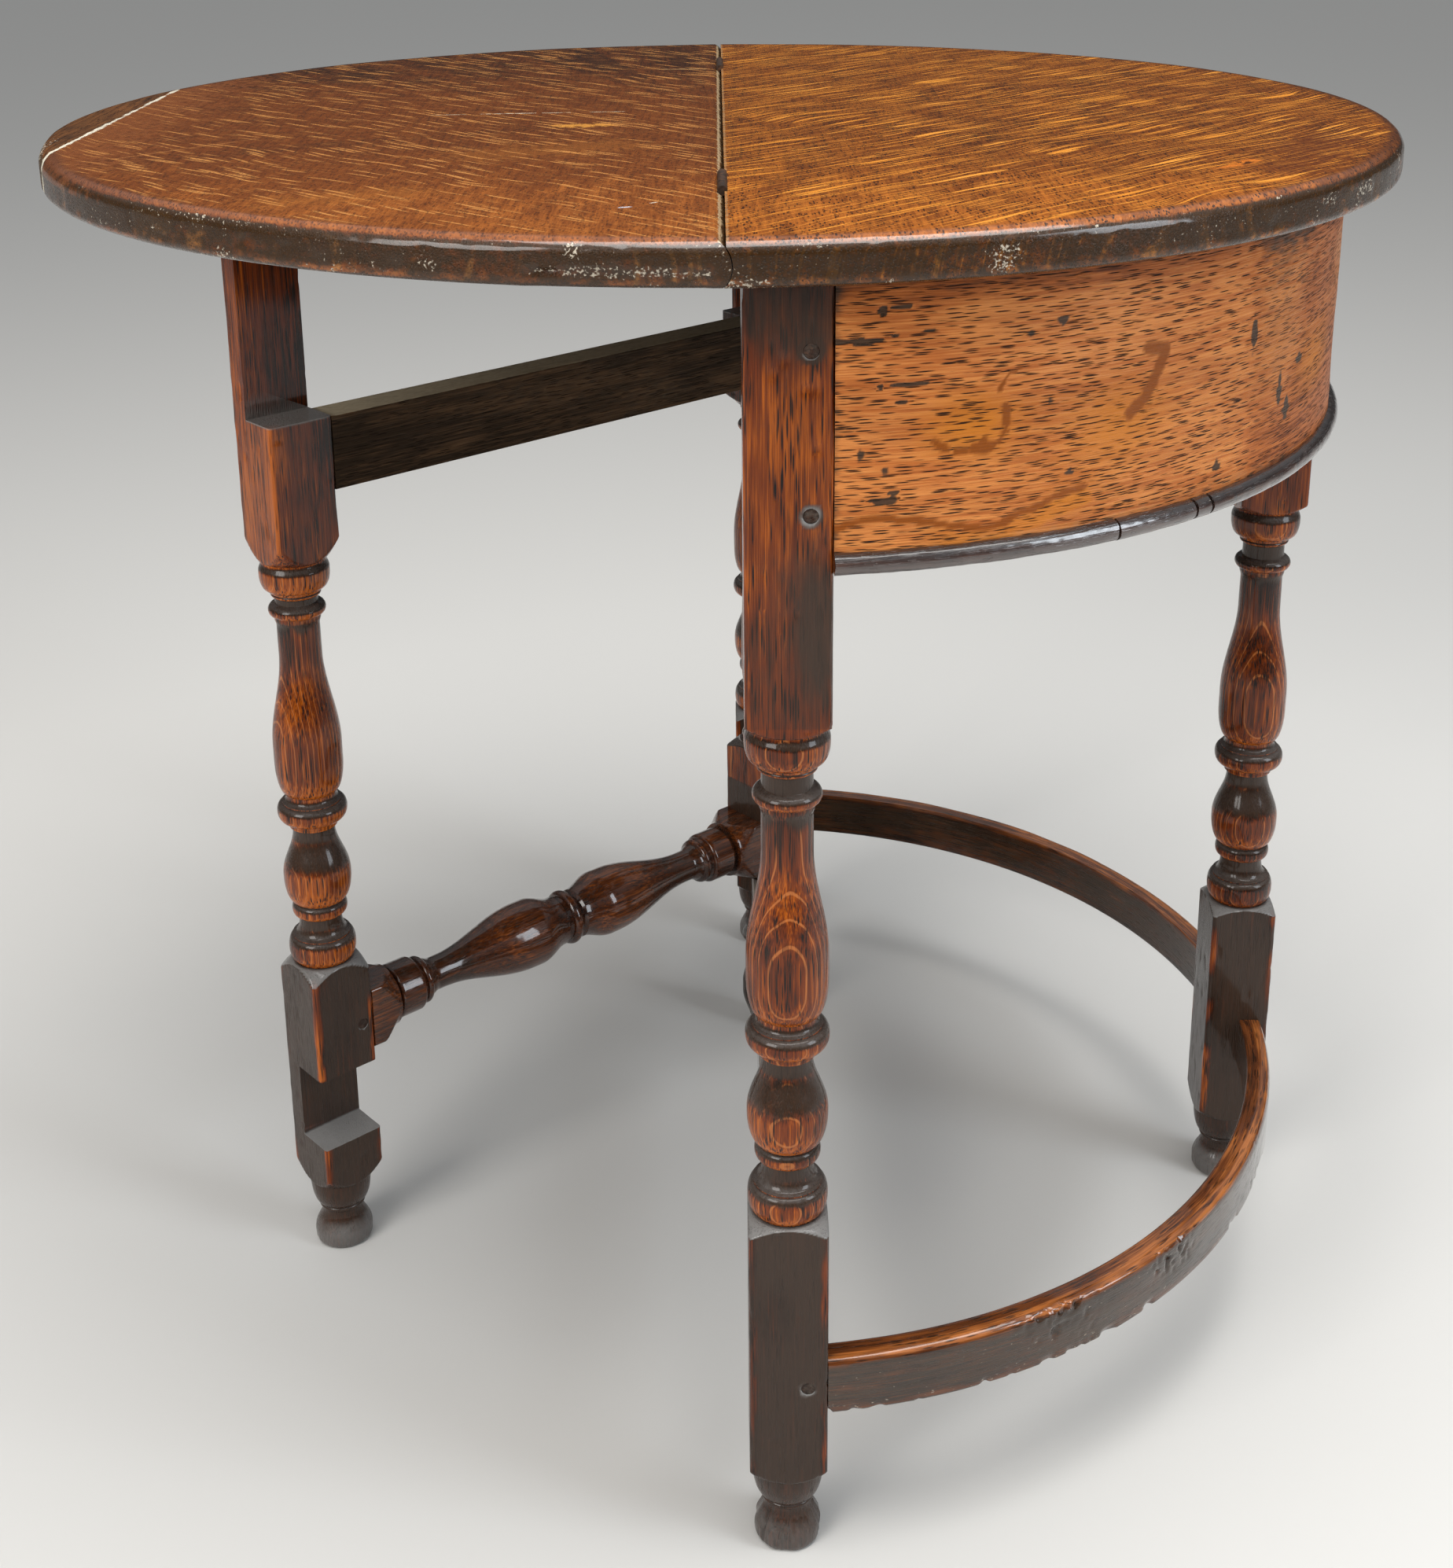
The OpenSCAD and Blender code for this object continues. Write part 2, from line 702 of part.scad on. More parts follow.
module gate_leg() {
    color(wood_leg)
    swung()
    difference() {
        translate([0, -gate_len, 0])
            leg(gate_leg_top);
        translate([-half_w + notch_web, -gate_len - leg_w, gate_rail_top])
            cube([leg_w, 2 * leg_w, frieze_h + 1]);
        translate([-half_w + notch_web, -gate_len - leg_w, notch_low])
            cube([leg_w, 2 * leg_w, notch_top - notch_low]);
        rail_tenons(fit_gap);
        turned_tenons(fit_gap);
        gate_peg(-gate_len + gate_peg_reach, fit_gap, 1);
    }
}

module gate_rail() {
    color(wood_dark)
    swung() {
        translate([gate_rail_x, -gate_len + half_w, gate_rail_low])
            cube([gate_rail_t, gate_len - 2 * half_w, gate_rail_h]);
        rail_tenons(0);
    }
}

// Outlines of one half of the turned gate stretcher: its square end, then out to the middle ring
turned_len = gate_len - 2 * half_w;
ring_r = vase_r - 5;            // radius of the rings at the ends and the middle
end_points = concat([[0, 0], [corner_r, 0]], ease(corner_r, 4, half_w - 0.3, 22, 6), [[0, 22]]);
half_points = let (m = turned_len / 2) concat(
    [[0, 21], [ring_r - 2.5, 21]],
    arc(ring_r - 2.5, 27, 2.5, -90, 0, 4),
    arc(ring_r - 2.5, 41, 2.5, 0, 90, 4),
    arc(ring_r - 4.5, 48, 2.4, -75, 75, 6),
    ease(ring_r - 5, 51, vase_r - 12, 58, 3),
    ease(vase_r - 12, 63, vase_r, m - 36, 10),
    ease(vase_r, m - 30, vase_r - 6, m - 8, 6),
    [[vase_r - 8.5, m - 5.5]],
    arc(ring_r - 2.5, m, 3.5, -90, 0, 5),
    [[0, m]]
);

module half_stretcher() {
    turned(half_points);
    intersection() {
        turned(end_points);
        translate([-half_w, -turned_end_h / 2, 0])
            cube([leg_w, turned_end_h, turned_len / 2]);
    }
}

module gate_stretcher() {
    color(wood_dark)
    swung()
    difference() {
        union() {
            for (end = [0, 1])
                translate([0, end ? -half_w : -gate_len + half_w, turned_z])
                    rotate([end ? 90 : -90, 0, 0])
                        half_stretcher();
            turned_tenons(0);
        }
        gate_peg(-gate_len + gate_peg_reach, fit_gap, 1);
        gate_peg(-gate_peg_reach, fit_gap, 1);
    }
}

// Outline of the turned middle of the gate post
post_points = concat(
    [[0, post_low_top - 4], [post_turned_r - 2, post_low_top - 4]],
    arc(post_turned_r - 4, post_low_top + 4, 4, -80, 90, 6),
    ease(post_turned_r - 5, post_low_top + 9, post_turned_r, post_low_top + 60, 8),
    ease(post_turned_r, post_low_top + 70, post_turned_r - 5, post_high_low - 24, 12),
    arc(post_turned_r - 5, post_high_low - 18, 4, -80, 90, 6),
    [[post_turned_r - 4, post_high_low - 10], [post_turned_r - 2, post_high_low + 4], [0, post_high_low + 4]]
);

foot_socket = 24;               // length of the lower pivot that is glued into the post's foot
post_foot_top = back_low - seat_gap;
post_foot_low = 1.5;            // the foot hangs just clear of the floor

module gate_post() {
    color(wood_leg)
    swung()
    difference() {
        union() {
            square_length(post_low, post_low_top);
            turned(post_points);
            square_length(post_high_low, post_high, false);
            translate([0, 0, post_foot_top - foot_socket])
                cylinder(r = pivot_r, h = post_low - post_foot_top + foot_socket + 1);
            translate([0, 0, post_high - 1])
                cylinder(r = pivot_r, h = pivot_depth + 1);
        }
        rail_tenons(fit_gap);
        turned_tenons(fit_gap);
        gate_peg(-gate_peg_reach, fit_gap, 1);
    }
}

// Foot of the gate post, under the back stretcher
foot_top_r = post_turned_r + 1;
post_foot_points = concat(
    [[0, post_foot_low], [foot_top_r - 7, post_foot_low]],
    ease(foot_top_r - 6, post_foot_low, foot_top_r, post_foot_low + 26, 8),
    ease(foot_top_r, post_foot_low + 34, foot_top_r - 3, post_foot_low + 50, 5),
    arc(foot_top_r - 4, post_foot_top - 8, 4, -90, 60, 6),
    [[foot_top_r - 3, post_foot_top], [0, post_foot_top]]
);

module gate_post_foot() {
    color(wood_leg)
    swung()
    difference() {
        turned(post_foot_points);
        translate([0, 0, post_foot_top - foot_socket - fit_gap])
            cylinder(r = pivot_r + fit_gap, h = foot_socket + 2);
    }
}

module gate_pegs() {
    color(oak_peg)
    swung()
    for (y = [-gate_len + gate_peg_reach, -gate_peg_reach])
        gate_peg(y, 0, 0);
}

fixed_leaf();
flap_board();
flap_strip();
front_hinge_table_plate();
front_hinge_flap_plate();
front_hinge_pin();
rear_hinge_table_plate();
rear_hinge_flap_plate();
rear_hinge_pin();
table_hinge_screws();
flap_hinge_screws();
front_leg();
rear_leg();
bow_leg();
front_frieze();
rear_frieze();
back_rail();
glue_blocks();
bead_front_long();
bead_front_short();
bead_patch();
bead_bow();
bead_rear();
front_stretcher();
rear_stretcher();
back_stretcher();
frame_pegs();
gate_leg();
gate_rail();
gate_stretcher();
gate_post();
gate_post_foot();
gate_pegs();
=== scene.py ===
import functools
import itertools
import math

import bmesh
import bpy
import numpy as np
from mathutils import Matrix, Vector


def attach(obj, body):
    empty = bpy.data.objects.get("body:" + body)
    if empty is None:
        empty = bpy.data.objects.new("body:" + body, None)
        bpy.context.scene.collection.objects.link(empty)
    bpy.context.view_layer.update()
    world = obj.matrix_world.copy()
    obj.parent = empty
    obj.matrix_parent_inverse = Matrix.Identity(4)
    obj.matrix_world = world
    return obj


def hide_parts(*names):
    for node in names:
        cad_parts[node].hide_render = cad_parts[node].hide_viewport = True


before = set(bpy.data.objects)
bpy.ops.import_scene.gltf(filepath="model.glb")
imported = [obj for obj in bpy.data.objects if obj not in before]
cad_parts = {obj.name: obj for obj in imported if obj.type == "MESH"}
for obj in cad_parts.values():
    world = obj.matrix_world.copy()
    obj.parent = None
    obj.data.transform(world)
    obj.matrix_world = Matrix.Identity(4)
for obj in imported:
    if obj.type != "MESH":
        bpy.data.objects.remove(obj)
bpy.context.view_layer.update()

MM = 0.001

# ---------------------------------------------------------------- sizes, in mm, as in the part's source
TOP_H = 720.0
LEAF_R, LEAF_T = 380.0, 21.0
LEAF_LOW = TOP_H - LEAF_T
STRIP_W = 30.0
TONGUE_X, TONGUE_Z, TONGUE_R, TONGUE_GAP = -9.6, 708.5, 13.0, 0.4
HINGE_Y, HINGE_LEN, PLATE_H, PLATE_FACE, PLATE_BACK = 240.0, 48.0, 16.5, 2.4, 4.4
SCREW_DEEP, SCREW_R = 18.8, 1.8
HALF_W = 20.5
FRAME_X, LEG_Y, BOW_X = 28.0, 317.03, 334.0
SIDE_X = FRAME_X + HALF_W
CURVE_X, FRIEZE_R, FRIEZE_T, FRIEZE_LOW = 12.0, 340.0, 22.0, 558.0
STRETCHER_R, STRETCHER_T, STRETCHER_LOW, STRETCHER_H = 338.5, 14.5, 93.0, 33.0
BACK_LOW, BACK_TOP, RAIL_LOW, RAIL_T = 84.0, 130.0, 559.0, 20.0
LOW_BLOCK_TOP, HIGH_BLOCK_LOW, FOOT_H = 201.0, 478.0, 48.0
TURNED_R = 20.5
GATE_LEN, GATE_OPEN, GATE_TOP, PIVOT_Y, PIVOT_R = 377.0, 48.5, 698.7, 187.0, 7.0
GATE_RAIL_LOW, GATE_RAIL_TOP, GATE_RAIL_T = 513.0, 558.0, 24.0
NOTCH_WEB, NOTCH_LOW, NOTCH_TOP = 14.8, 82.0, 132.0
TURNED_Z = 161.0
POST_LOW_TOP, POST_HIGH_LOW = 238.0, 494.0
PEG_R, PEG_LEN, PEG_X = 3.5, 30.0, 38.0
PEG_HEIGHTS = (662.0, 586.0, 109.5)
GATE_PEG_Y = (-364.5, -12.5)
ARRIS_TOP, ARRIS_LOW = 7.0, 4.0
BEAD_H, BEAD_GAP, BREAKS = 11.0, 0.185, (-60.0, -51.5, -49.5)

# Sizes read from the photo for the shown pieces only
LOW_TOP = LOW_BLOCK_TOP + 5.5           # upper end of a leg's lower square
HIGH_LOW = HIGH_BLOCK_LOW - 1.8         # lower end of a leg's upper square
GATE_HIGH_LOW = 471.5                   # the same on the gate leg
CORNER_R = HALF_W * math.sqrt(2) + 0.5  # reaches past the corners of a square
SHOULDER_R = TURNED_R - 1.2
UNCLIPPED = 60.0                        # half width that leaves the turning whole
HOLE_GAP = 0.15                         # room round a peg
FAR = 420.0                             # past the rim of the leaves


# ---------------------------------------------------------------- shapes
def noise(points, size, seed=0):
    """Smooth noise from -1 to 1 at each point, with lumps about size mm wide: one number, or one per axis."""
    q = np.asarray(points, float) / np.asarray(size, float) + 7.31 * seed
    cell = np.floor(q).astype(np.int64)
    t = q - cell
    t = t * t * (3 - 2 * t)
    total = np.zeros(q.shape[:-1])
    for corner in itertools.product((0, 1), repeat=3):
        c = cell + np.array(corner)
        h = (c[..., 0] * 374761393 + c[..., 1] * 668265263 + c[..., 2] * 2147483647 + seed * 974711) & 0xFFFFFFFF
        h = ((h ^ (h >> 13)) * 1274126177) & 0xFFFFFFFF
        share = np.prod(np.where(np.array(corner), t, 1 - t), axis=-1)
        total += share * (((h ^ (h >> 16)) & 0xFFFF) / 32767.5 - 1)
    return total


def step(low, high, value):
    """Smooth step from 0 at low to 1 at high."""
    t = np.clip((value - low) / (high - low), 0, 1)
    return t * t * (3 - 2 * t)


def stacked(*columns):
    """Points from their three columns, spread to one shape."""
    return np.stack(np.broadcast_arrays(*columns), -1)


def round_points(radius, angle, z):
    """Points at a radius and angle about the Z axis."""
    return stacked(radius * np.cos(angle), radius * np.sin(angle), z)


def arc(cx, cy, r, start, end, n):
    a = np.radians(np.linspace(start, end, n + 1))
    return np.stack([cx + r * np.cos(a), cy + r * np.sin(a)], 1)


def ease(r0, z0, r1, z1, n):
    """A soft S from (r0, z0) to (r1, z1)."""
    t = np.linspace(0, 1, n + 1)
    return np.stack([r0 + (r1 - r0) * (1 - np.cos(np.pi * t)) / 2, z0 + (z1 - z0) * t], 1)


def quarter(r0, z0, r1, z1, n=8, flat_first=True):
    """A quarter round from (r0, z0) to (r1, z1), which sets off level or, without flat_first, upright."""
    t = np.linspace(0, math.pi / 2, n + 1)
    first, last = np.sin(t), 1 - np.cos(t)
    if not flat_first:
        first, last = last, first
    return np.stack([r0 + (r1 - r0) * first, z0 + (z1 - z0) * last], 1)


def respaced(points, spacing):
    """Adds points to an open outline so that none of its steps is longer than spacing."""
    points = np.asarray(points, float)
    out = [points[:1]]
    for a, b in zip(points[:-1], points[1:]):
        n = max(1, math.ceil(np.linalg.norm(b - a) / spacing))
        out.append(a + (b - a) * np.linspace(0, 1, n + 1)[1:, None])
    return np.concatenate(out)


def added(name, mesh):
    """A new object with this mesh, in the scene."""
    made = bpy.data.objects.new(name, mesh)
    bpy.context.scene.collection.objects.link(made)
    return made


def evaluated(piece):
    """A plain mesh of the piece with its modifiers applied."""
    return bpy.data.meshes.new_from_object(piece.evaluated_get(bpy.context.evaluated_depsgraph_get()))


def solid(name, verts, faces):
    """A closed mesh object from points in mm, with its faces turned outwards."""
    mesh = bpy.data.meshes.new(name)
    mesh.from_pydata((np.asarray(verts) * MM).tolist(), [], faces)
    work = bmesh.new()
    work.from_mesh(mesh)
    bmesh.ops.remove_doubles(work, verts=work.verts, dist=1e-6)
    bmesh.ops.recalc_face_normals(work, faces=work.faces)
    work.to_mesh(mesh)
    work.free()
    return added(name, mesh)


def loft(name, rings):
    """A bar through closed rings of points, all with the same number of points, closed at both ends."""
    rings = np.asarray(rings, float)
    m, n = rings.shape[:2]
    faces = [(i * n + j, i * n + (j + 1) % n, (i + 1) * n + (j + 1) % n, (i + 1) * n + j)
             for i in range(m - 1) for j in range(n)]
    faces += [tuple(range(n))[::-1], tuple(range((m - 1) * n, m * n))]
    return solid(name, rings.reshape(-1, 3), faces)


def box(name, low, high):
    """A plain box between two corners, used only to cut with."""
    corners = [(x, y, z) for z in (low[2], high[2]) for x, y in
               ((low[0], low[1]), (high[0], low[1]), (high[0], high[1]), (low[0], high[1]))]
    return solid(name, corners, [(0, 1, 2, 3), (4, 5, 6, 7), (0, 1, 5, 4), (1, 2, 6, 5), (2, 3, 7, 6), (3, 0, 4, 7)])


def rod(name, start, end, radius, sides=32):
    """A plain round rod between two points, used to cut holes."""
    start, end = np.array(start, float), np.array(end, float)
    along = (end - start) / np.linalg.norm(end - start)
    side = np.cross(along, (0, 0, 1) if abs(along[2]) < 0.9 else (1, 0, 0))
    side /= np.linalg.norm(side)
    other = np.cross(along, side)
    a = np.linspace(0, 2 * math.pi, sides, endpoint=False)[:, None]
    ring = radius * (np.cos(a) * side + np.sin(a) * other)
    return loft(name, [start + ring, end + ring])


def cut(piece, *cutters):
    """Cuts the cutters out of the piece and deletes them."""
    for cutter in cutters:
        change = piece.modifiers.new("cut", "BOOLEAN")
        change.operation, change.solver, change.object = "DIFFERENCE", "EXACT", cutter
        mesh, old = evaluated(piece), piece.data
        piece.modifiers.remove(change)
        piece.data = mesh
        mesh.name = piece.name
        bpy.data.meshes.remove(old)
        bpy.data.objects.remove(cutter)
    return piece


def read(piece, key):
    """One vector for each vertex of the piece."""
    flat = np.empty(len(piece.data.vertices) * 3)
    piece.data.vertices.foreach_get(key, flat)
    return flat.reshape(-1, 3)


def points_of(piece):
    return read(piece, "co") / MM


def normals_of(piece):
    return read(piece, "normal")


def place(piece, x, y, z, turn=Matrix()):
    """Turns and moves a piece's mesh to where it belongs, so that its object stays at the origin."""
    piece.data.transform(Matrix.Translation(Vector((x, y, z)) * MM) @ turn)
    return piece


def square_radius(angle, half_x, half_y, corner):
    """Distance from the middle to the side of a rectangle with rounded corners, at each angle."""
    c, s = np.abs(np.cos(angle)), np.abs(np.sin(angle))
    flat = np.minimum(half_x / np.maximum(c, 1e-9), half_y / np.maximum(s, 1e-9))
    ix, iy = half_x - corner, half_y - corner
    along = ix * c + iy * s
    across = ix * s - iy * c
    inside = np.clip(corner ** 2 - across ** 2, 0, None)
    rounded = along + np.sqrt(inside)
    in_corner = (flat * c > ix) & (flat * s > iy) & (across ** 2 < corner ** 2)
    return np.where(in_corner, np.minimum(rounded, flat), flat)


def round_angles(per_side, per_corner, half, corner):
    """Angles that put points evenly on the sides of a square and close together on its corners."""
    edge = math.atan2(half - corner, half)
    flat = np.arctan(np.linspace(-(half - corner), half - corner, per_side) / half)
    turn = np.linspace(edge, math.pi / 2 - edge, per_corner + 2)[1:-1]
    return np.concatenate([np.concatenate([flat, turn]) + k * math.pi / 2 for k in range(4)])


LEG_ANGLES = round_angles(18, 9, HALF_W, 3.0)


def turned_bar(name, outline, square=None, seed=0, wobble=0.05, wear=1.0):
    """A turned bar standing on the Z axis. outline holds its radius and height; square(z) is the half width of the
    square that clips it there."""
    r, z = np.asarray(outline, float).T[:, :, None]
    a = LEG_ANGLES[None, :]
    where = round_points(r, a, z)
    radius = r + (wobble * noise(where, (9, 9, 14), seed) + 0.5 * wobble * noise(where, 3.5, seed + 1))
    if square is not None:
        half = square(z)
        side = np.floor(a / (math.pi / 2) + 0.5)
        at = stacked(side * 40, 0.0, z)
        corner = 1.5 + wear * (0.8 + 0.8 * noise(at, (30, 30, 26), seed + 2) + 0.4 * noise(at, (30, 30, 7), seed + 3))
        limit = square_radius(a, half, half, np.clip(corner, 0.6, 4.0))
        limit = limit - wear * (0.12 + 0.12 * noise(where, (16, 16, 40), seed + 4))
        near_corner = step(0.55, 0.75, limit / (half * math.sqrt(2)))
        dents = np.clip(noise(where, (5, 5, 7), seed + 5) - 0.62, 0, None) * near_corner
        limit = limit - wear * 2.2 * dents
        soft = 0.5
        blend = np.clip(0.5 + 0.5 * (limit - radius) / soft, 0, 1)
        radius = limit * (1 - blend) + radius * blend - soft * blend * (1 - blend)
    return loft(name, round_points(np.maximum(radius, 0.01), a, z))


SWING = Matrix.Translation(Vector((FRAME_X, PIVOT_Y, 0)) * MM) @ Matrix.Rotation(math.radians(-GATE_OPEN), 4, "Z")


def swung(piece):
    piece.data.transform(SWING)
    return piece


def gate_points(piece):
    """A piece's points in the gate's own frame, where the gate runs along -Y from its pivot."""
    turn = np.array(SWING.inverted())
    return points_of(piece) @ turn[:3, :3].T + turn[:3, 3] / MM


# ---------------------------------------------------------------- legs
def turned_corner(z, height):
    """Outline where the corners of a square are turned away, from its end z to height inside it."""
    t = np.linspace(0, 1, 11)
    return np.stack([SHOULDER_R + 0.2 + (CORNER_R - SHOULDER_R - 0.2) * t, z + height * t ** 1.25], 1)


FOOT_OUTLINE = np.concatenate([
    [(0.5, 0.0), (15.5, 0.0)], quarter(15.8, 0.2, 18.4, 5, 6), ease(18.5, 8, 13.0, 24, 12), [(13.0, 25.5)],
    arc(13.2, 27.3, 1.5, -80, 80, 6), quarter(14.3, 29.4, SHOULDER_R, FOOT_H, 14)])
SHAFT_OUTLINE = np.concatenate([
    [(17.4, LOW_TOP + 0.2)], quarter(17.8, 208.0, 20.6, 216, 8), quarter(20.6, 216.6, 17.8, 223.6, 8, False),
    [(17.8, 224.8)], quarter(17.0, 225.2, 13.0, 235, 9), [(13.0, 237.4)], quarter(14.5, 238, 16.9, 242, 6),
    quarter(16.9, 242.4, 14.6, 246.6, 6, False), quarter(14.5, 247.2, 20.6, 264, 14), ease(20.6, 266, 12.8, 296, 20),
    [(12.9, 298), (14.6, 298.4), (14.8, 301.2)], quarter(16.4, 302.4, 21.2, 309, 8),
    quarter(21.2, 309.4, 17.9, 314.4, 8, False), [(17.8, 315.6)], quarter(17.0, 316.0, 15.0, 320.4, 5),
    quarter(15.0, 320.9, 20.6, 341, 14), ease(20.6, 353, 12.8, 411, 34), ease(12.7, 430, 13.8, 435, 4),
    arc(13.0, 440, 4.0, -80, 85, 12), [(12.7, 444.6), (12.6, 450)]])


def leg_outline(top, high_low=HIGH_LOW, turned=(9, 6, 7)):
    """The whole outline of a leg, its points close together on the turning. turned is the height of the turned-away
    corners at the foot, at the top of the lower square and at the lower end of the upper square."""
    low_block = np.concatenate([turned_corner(FOOT_H, turned[0]), turned_corner(LOW_TOP, -turned[1])[::-1]])
    ring = np.concatenate([
        [(12.6, high_low - 23.6)], arc(13.6, high_low - 21.6, 1.2, -80, 80, 6),
        [(15.2, high_low - 20.2), (15.8, high_low - 18.6)], quarter(16.8, high_low - 18.2, 20.8, high_low - 8.5, 10),
        ease(20.8, high_low - 6.5, SHOULDER_R - 0.2, high_low - 0.4, 6)])
    high = np.concatenate([turned_corner(high_low, turned[2]), [(CORNER_R, top)]])
    return np.concatenate([respaced(FOOT_OUTLINE, 1.2), respaced(low_block, 2.2), respaced(SHAFT_OUTLINE, 1.1),
                           respaced(ring, 1.1), respaced(high, 2.2)])


def in_blocks(z, *blocks):
    """Whether a height lies in one of the squares of a turned bar."""
    return np.any([(z >= low - 0.01) & (z <= high + 0.01) for low, high in blocks], axis=0)


def leg_square(z):
    return np.where(in_blocks(z, (FOOT_H, LOW_TOP), (GATE_HIGH_LOW, TOP_H)), HALF_W, UNCLIPPED)


def leg(name, top, seed, split=0.25, **shape):
    """A turned leg. split is how deep its foot has cracked and worn along the grain, in mm."""
    made = turned_bar(name, leg_outline(top, **shape), leg_square, seed)
    at = points_of(made)
    x, y, z = at.T
    angle = np.arctan2(y, x)
    low = 1 - step(19, 27, z)
    crack = np.abs(noise(round_points(18, angle, 0.05 * z), 2.4, seed + 7)) - 0.12
    chip = step(0.1, 0.8, noise(at, (13, 13, 9), seed + 8)) * (1 - step(4, 13, z))
    shrink = 1 - low * split * (0.25 + 1.6 * np.clip(crack, 0, 0.6) + 2.2 * chip) / 18
    for vert, k in zip(made.data.vertices, shrink):
        vert.co.x *= k
        vert.co.y *= k
    return made


def peg_hole(x, y, z, inward):
    return rod("peg_hole", (x, y - 2 * inward, z), (x, y + inward * (PEG_LEN + 0.5), z), PEG_R + HOLE_GAP)


def curved_cutter(name, r0, r1, low, high, start, end):
    angles = np.radians(np.linspace(start, end, 25))[:, None]
    section = np.array([(r0, low), (r1, low), (r1, high), (r0, high)])
    return loft(name, round_points(section[None, :, 0], angles, section[None, :, 1]) + (CURVE_X, 0, 0))


front_leg = place(leg("front_leg_turned", LEAF_LOW, 11, split=1.5), FRAME_X, -LEG_Y, 0)
cut(front_leg, *[peg_hole(PEG_X, -LEG_Y - HALF_W, z, 1) for z in PEG_HEIGHTS])
rear_leg = place(leg("rear_leg_turned", LEAF_LOW, 12), FRAME_X, LEG_Y, 0)
cut(rear_leg, *[peg_hole(PEG_X, LEG_Y + HALF_W, z, -1) for z in PEG_HEIGHTS])
bow_leg = place(leg("bow_leg_turned", LEAF_LOW, 13), BOW_X, 0, 0)
cut(bow_leg, curved_cutter("behind_frieze", FRIEZE_R - FRIEZE_T, FRIEZE_R + 40, FRIEZE_LOW, TOP_H, -9, 9))


# ---------------------------------------------------------------- curved frieze, beads and stretchers
def section_ring(half_a, half_b, corner, step_a, step_b):
    """A rectangle with rounded corners, starting on the +a side. Its sides have a point about every step_a or
    step_b mm."""
    na, nb = max(1, round(2 * (half_a - corner) / step_a)), max(1, round(2 * (half_b - corner) / step_b))
    out = []
    sides = [((1, -1), (1, 1), nb), ((1, 1), (-1, 1), na), ((-1, 1), (-1, -1), nb), ((-1, -1), (1, -1), na)]
    for k, (p, q, n) in enumerate(sides):
        ca, cb = q[0] * (half_a - corner), q[1] * (half_b - corner)
        if k % 2 == 0:
            out += [(p[0] * half_a, t) for t in np.linspace(p[1], q[1], n + 1) * (half_b - corner)]
        else:
            out += [(t, p[1] * half_b) for t in np.linspace(p[0], q[0], n + 1) * (half_a - corner)]
        turn = np.radians(90 * k + np.linspace(0, 90, 6)[1:-1])
        out += [(ca + corner * math.cos(t), cb + corner * math.sin(t)) for t in turn]
    return np.array(out)


def curved_bar(name, r, t, low, h, end_y, corner, stations, steps, shape):
    """Quarter curve from the side of the front leg round to the bow. shape(radius, angle, z) moves the points."""
    ring = section_ring(t / 2, h / 2, corner, *steps)
    radius, z = ring[:, 0] + r - t / 2, ring[:, 1] + low + h / 2
    s = np.linspace(0, 1, stations)[:, None]
    start = -np.arccos((SIDE_X - CURVE_X) / radius)[None, :]
    end = -np.arcsin(end_y / radius)[None, :]
    angle = start + s * (end - start)
    radius, z = shape(radius[None, :], angle, z[None, :])
    return loft(name, round_points(radius, angle, z) + (CURVE_X, 0, 0))


def mirrored(piece):
    """Turns a piece made for the front into its fellow on the other side of the middle."""
    piece.data.transform(Matrix.Scale(-1, 4, (0, 1, 0)))
    piece.data.flip_normals()
    return piece


# Torn spots on the frieze: angle round it from the bow, height, half length, half height and depth in mm
TEARS = [(-81.8, 666.0, 11, 2.0, 1.0), (-79.4, 667.4, 6, 0.8, 0.8), (-80.4, 644.5, 5, 1.0, 1.0),
         (-78.4, 645.5, 10, 1.1, 1.0), (-78.6, 636.7, 8.5, 0.9, 0.8), (-80.0, 592.2, 9, 1.6, 1.0),
         (-79.3, 595.4, 4, 1.5, 0.8), (-80.3, 679.0, 2.8, 3.0, 0.8), (-78.8, 680.4, 7, 0.8, 0.5)]
FRIEZE = (FRIEZE_R, FRIEZE_T, FRIEZE_LOW, LEAF_LOW - FRIEZE_LOW, 0, 0.8)
STRETCHER = (STRETCHER_R, STRETCHER_T, STRETCHER_LOW, STRETCHER_H, HALF_W, 1.2)


def frieze_shape(seed, tears):
    """Hand-planed face with torn spots, and a rougher back."""
    def shape(radius, angle, z):
        at = round_points(radius, angle, z)
        face = step(FRIEZE_R - 2.0, FRIEZE_R - 0.2, radius)
        sunk = 0.25 + 0.25 * noise(at, (60, 60, 45), seed) + 0.10 * noise(at, (14, 14, 5), seed + 1)
        along = np.degrees(angle)
        for a, height, wide, tall, deep in tears:
            away = np.abs(along - a) * FRIEZE_R * math.pi / 180 / wide + 0.8 * np.abs(z - height) / tall
            ragged = away + 0.5 * noise(at, (7, 7, 1.3), seed + 2)
            sunk = sunk + deep * 1.1 * (1 - step(0.7, 1.0, ragged)) * (0.7 + 0.3 * noise(at, 1.8, seed + 3))
        radius = radius - face * np.clip(sunk, 0.02, 2)
        back = 1 - step(FRIEZE_R - FRIEZE_T + 0.2, FRIEZE_R - FRIEZE_T + 1.5, radius)
        radius = radius + back * (0.3 + 0.3 * noise(at, (30, 30, 8), seed + 4))
        return radius, z
    return shape


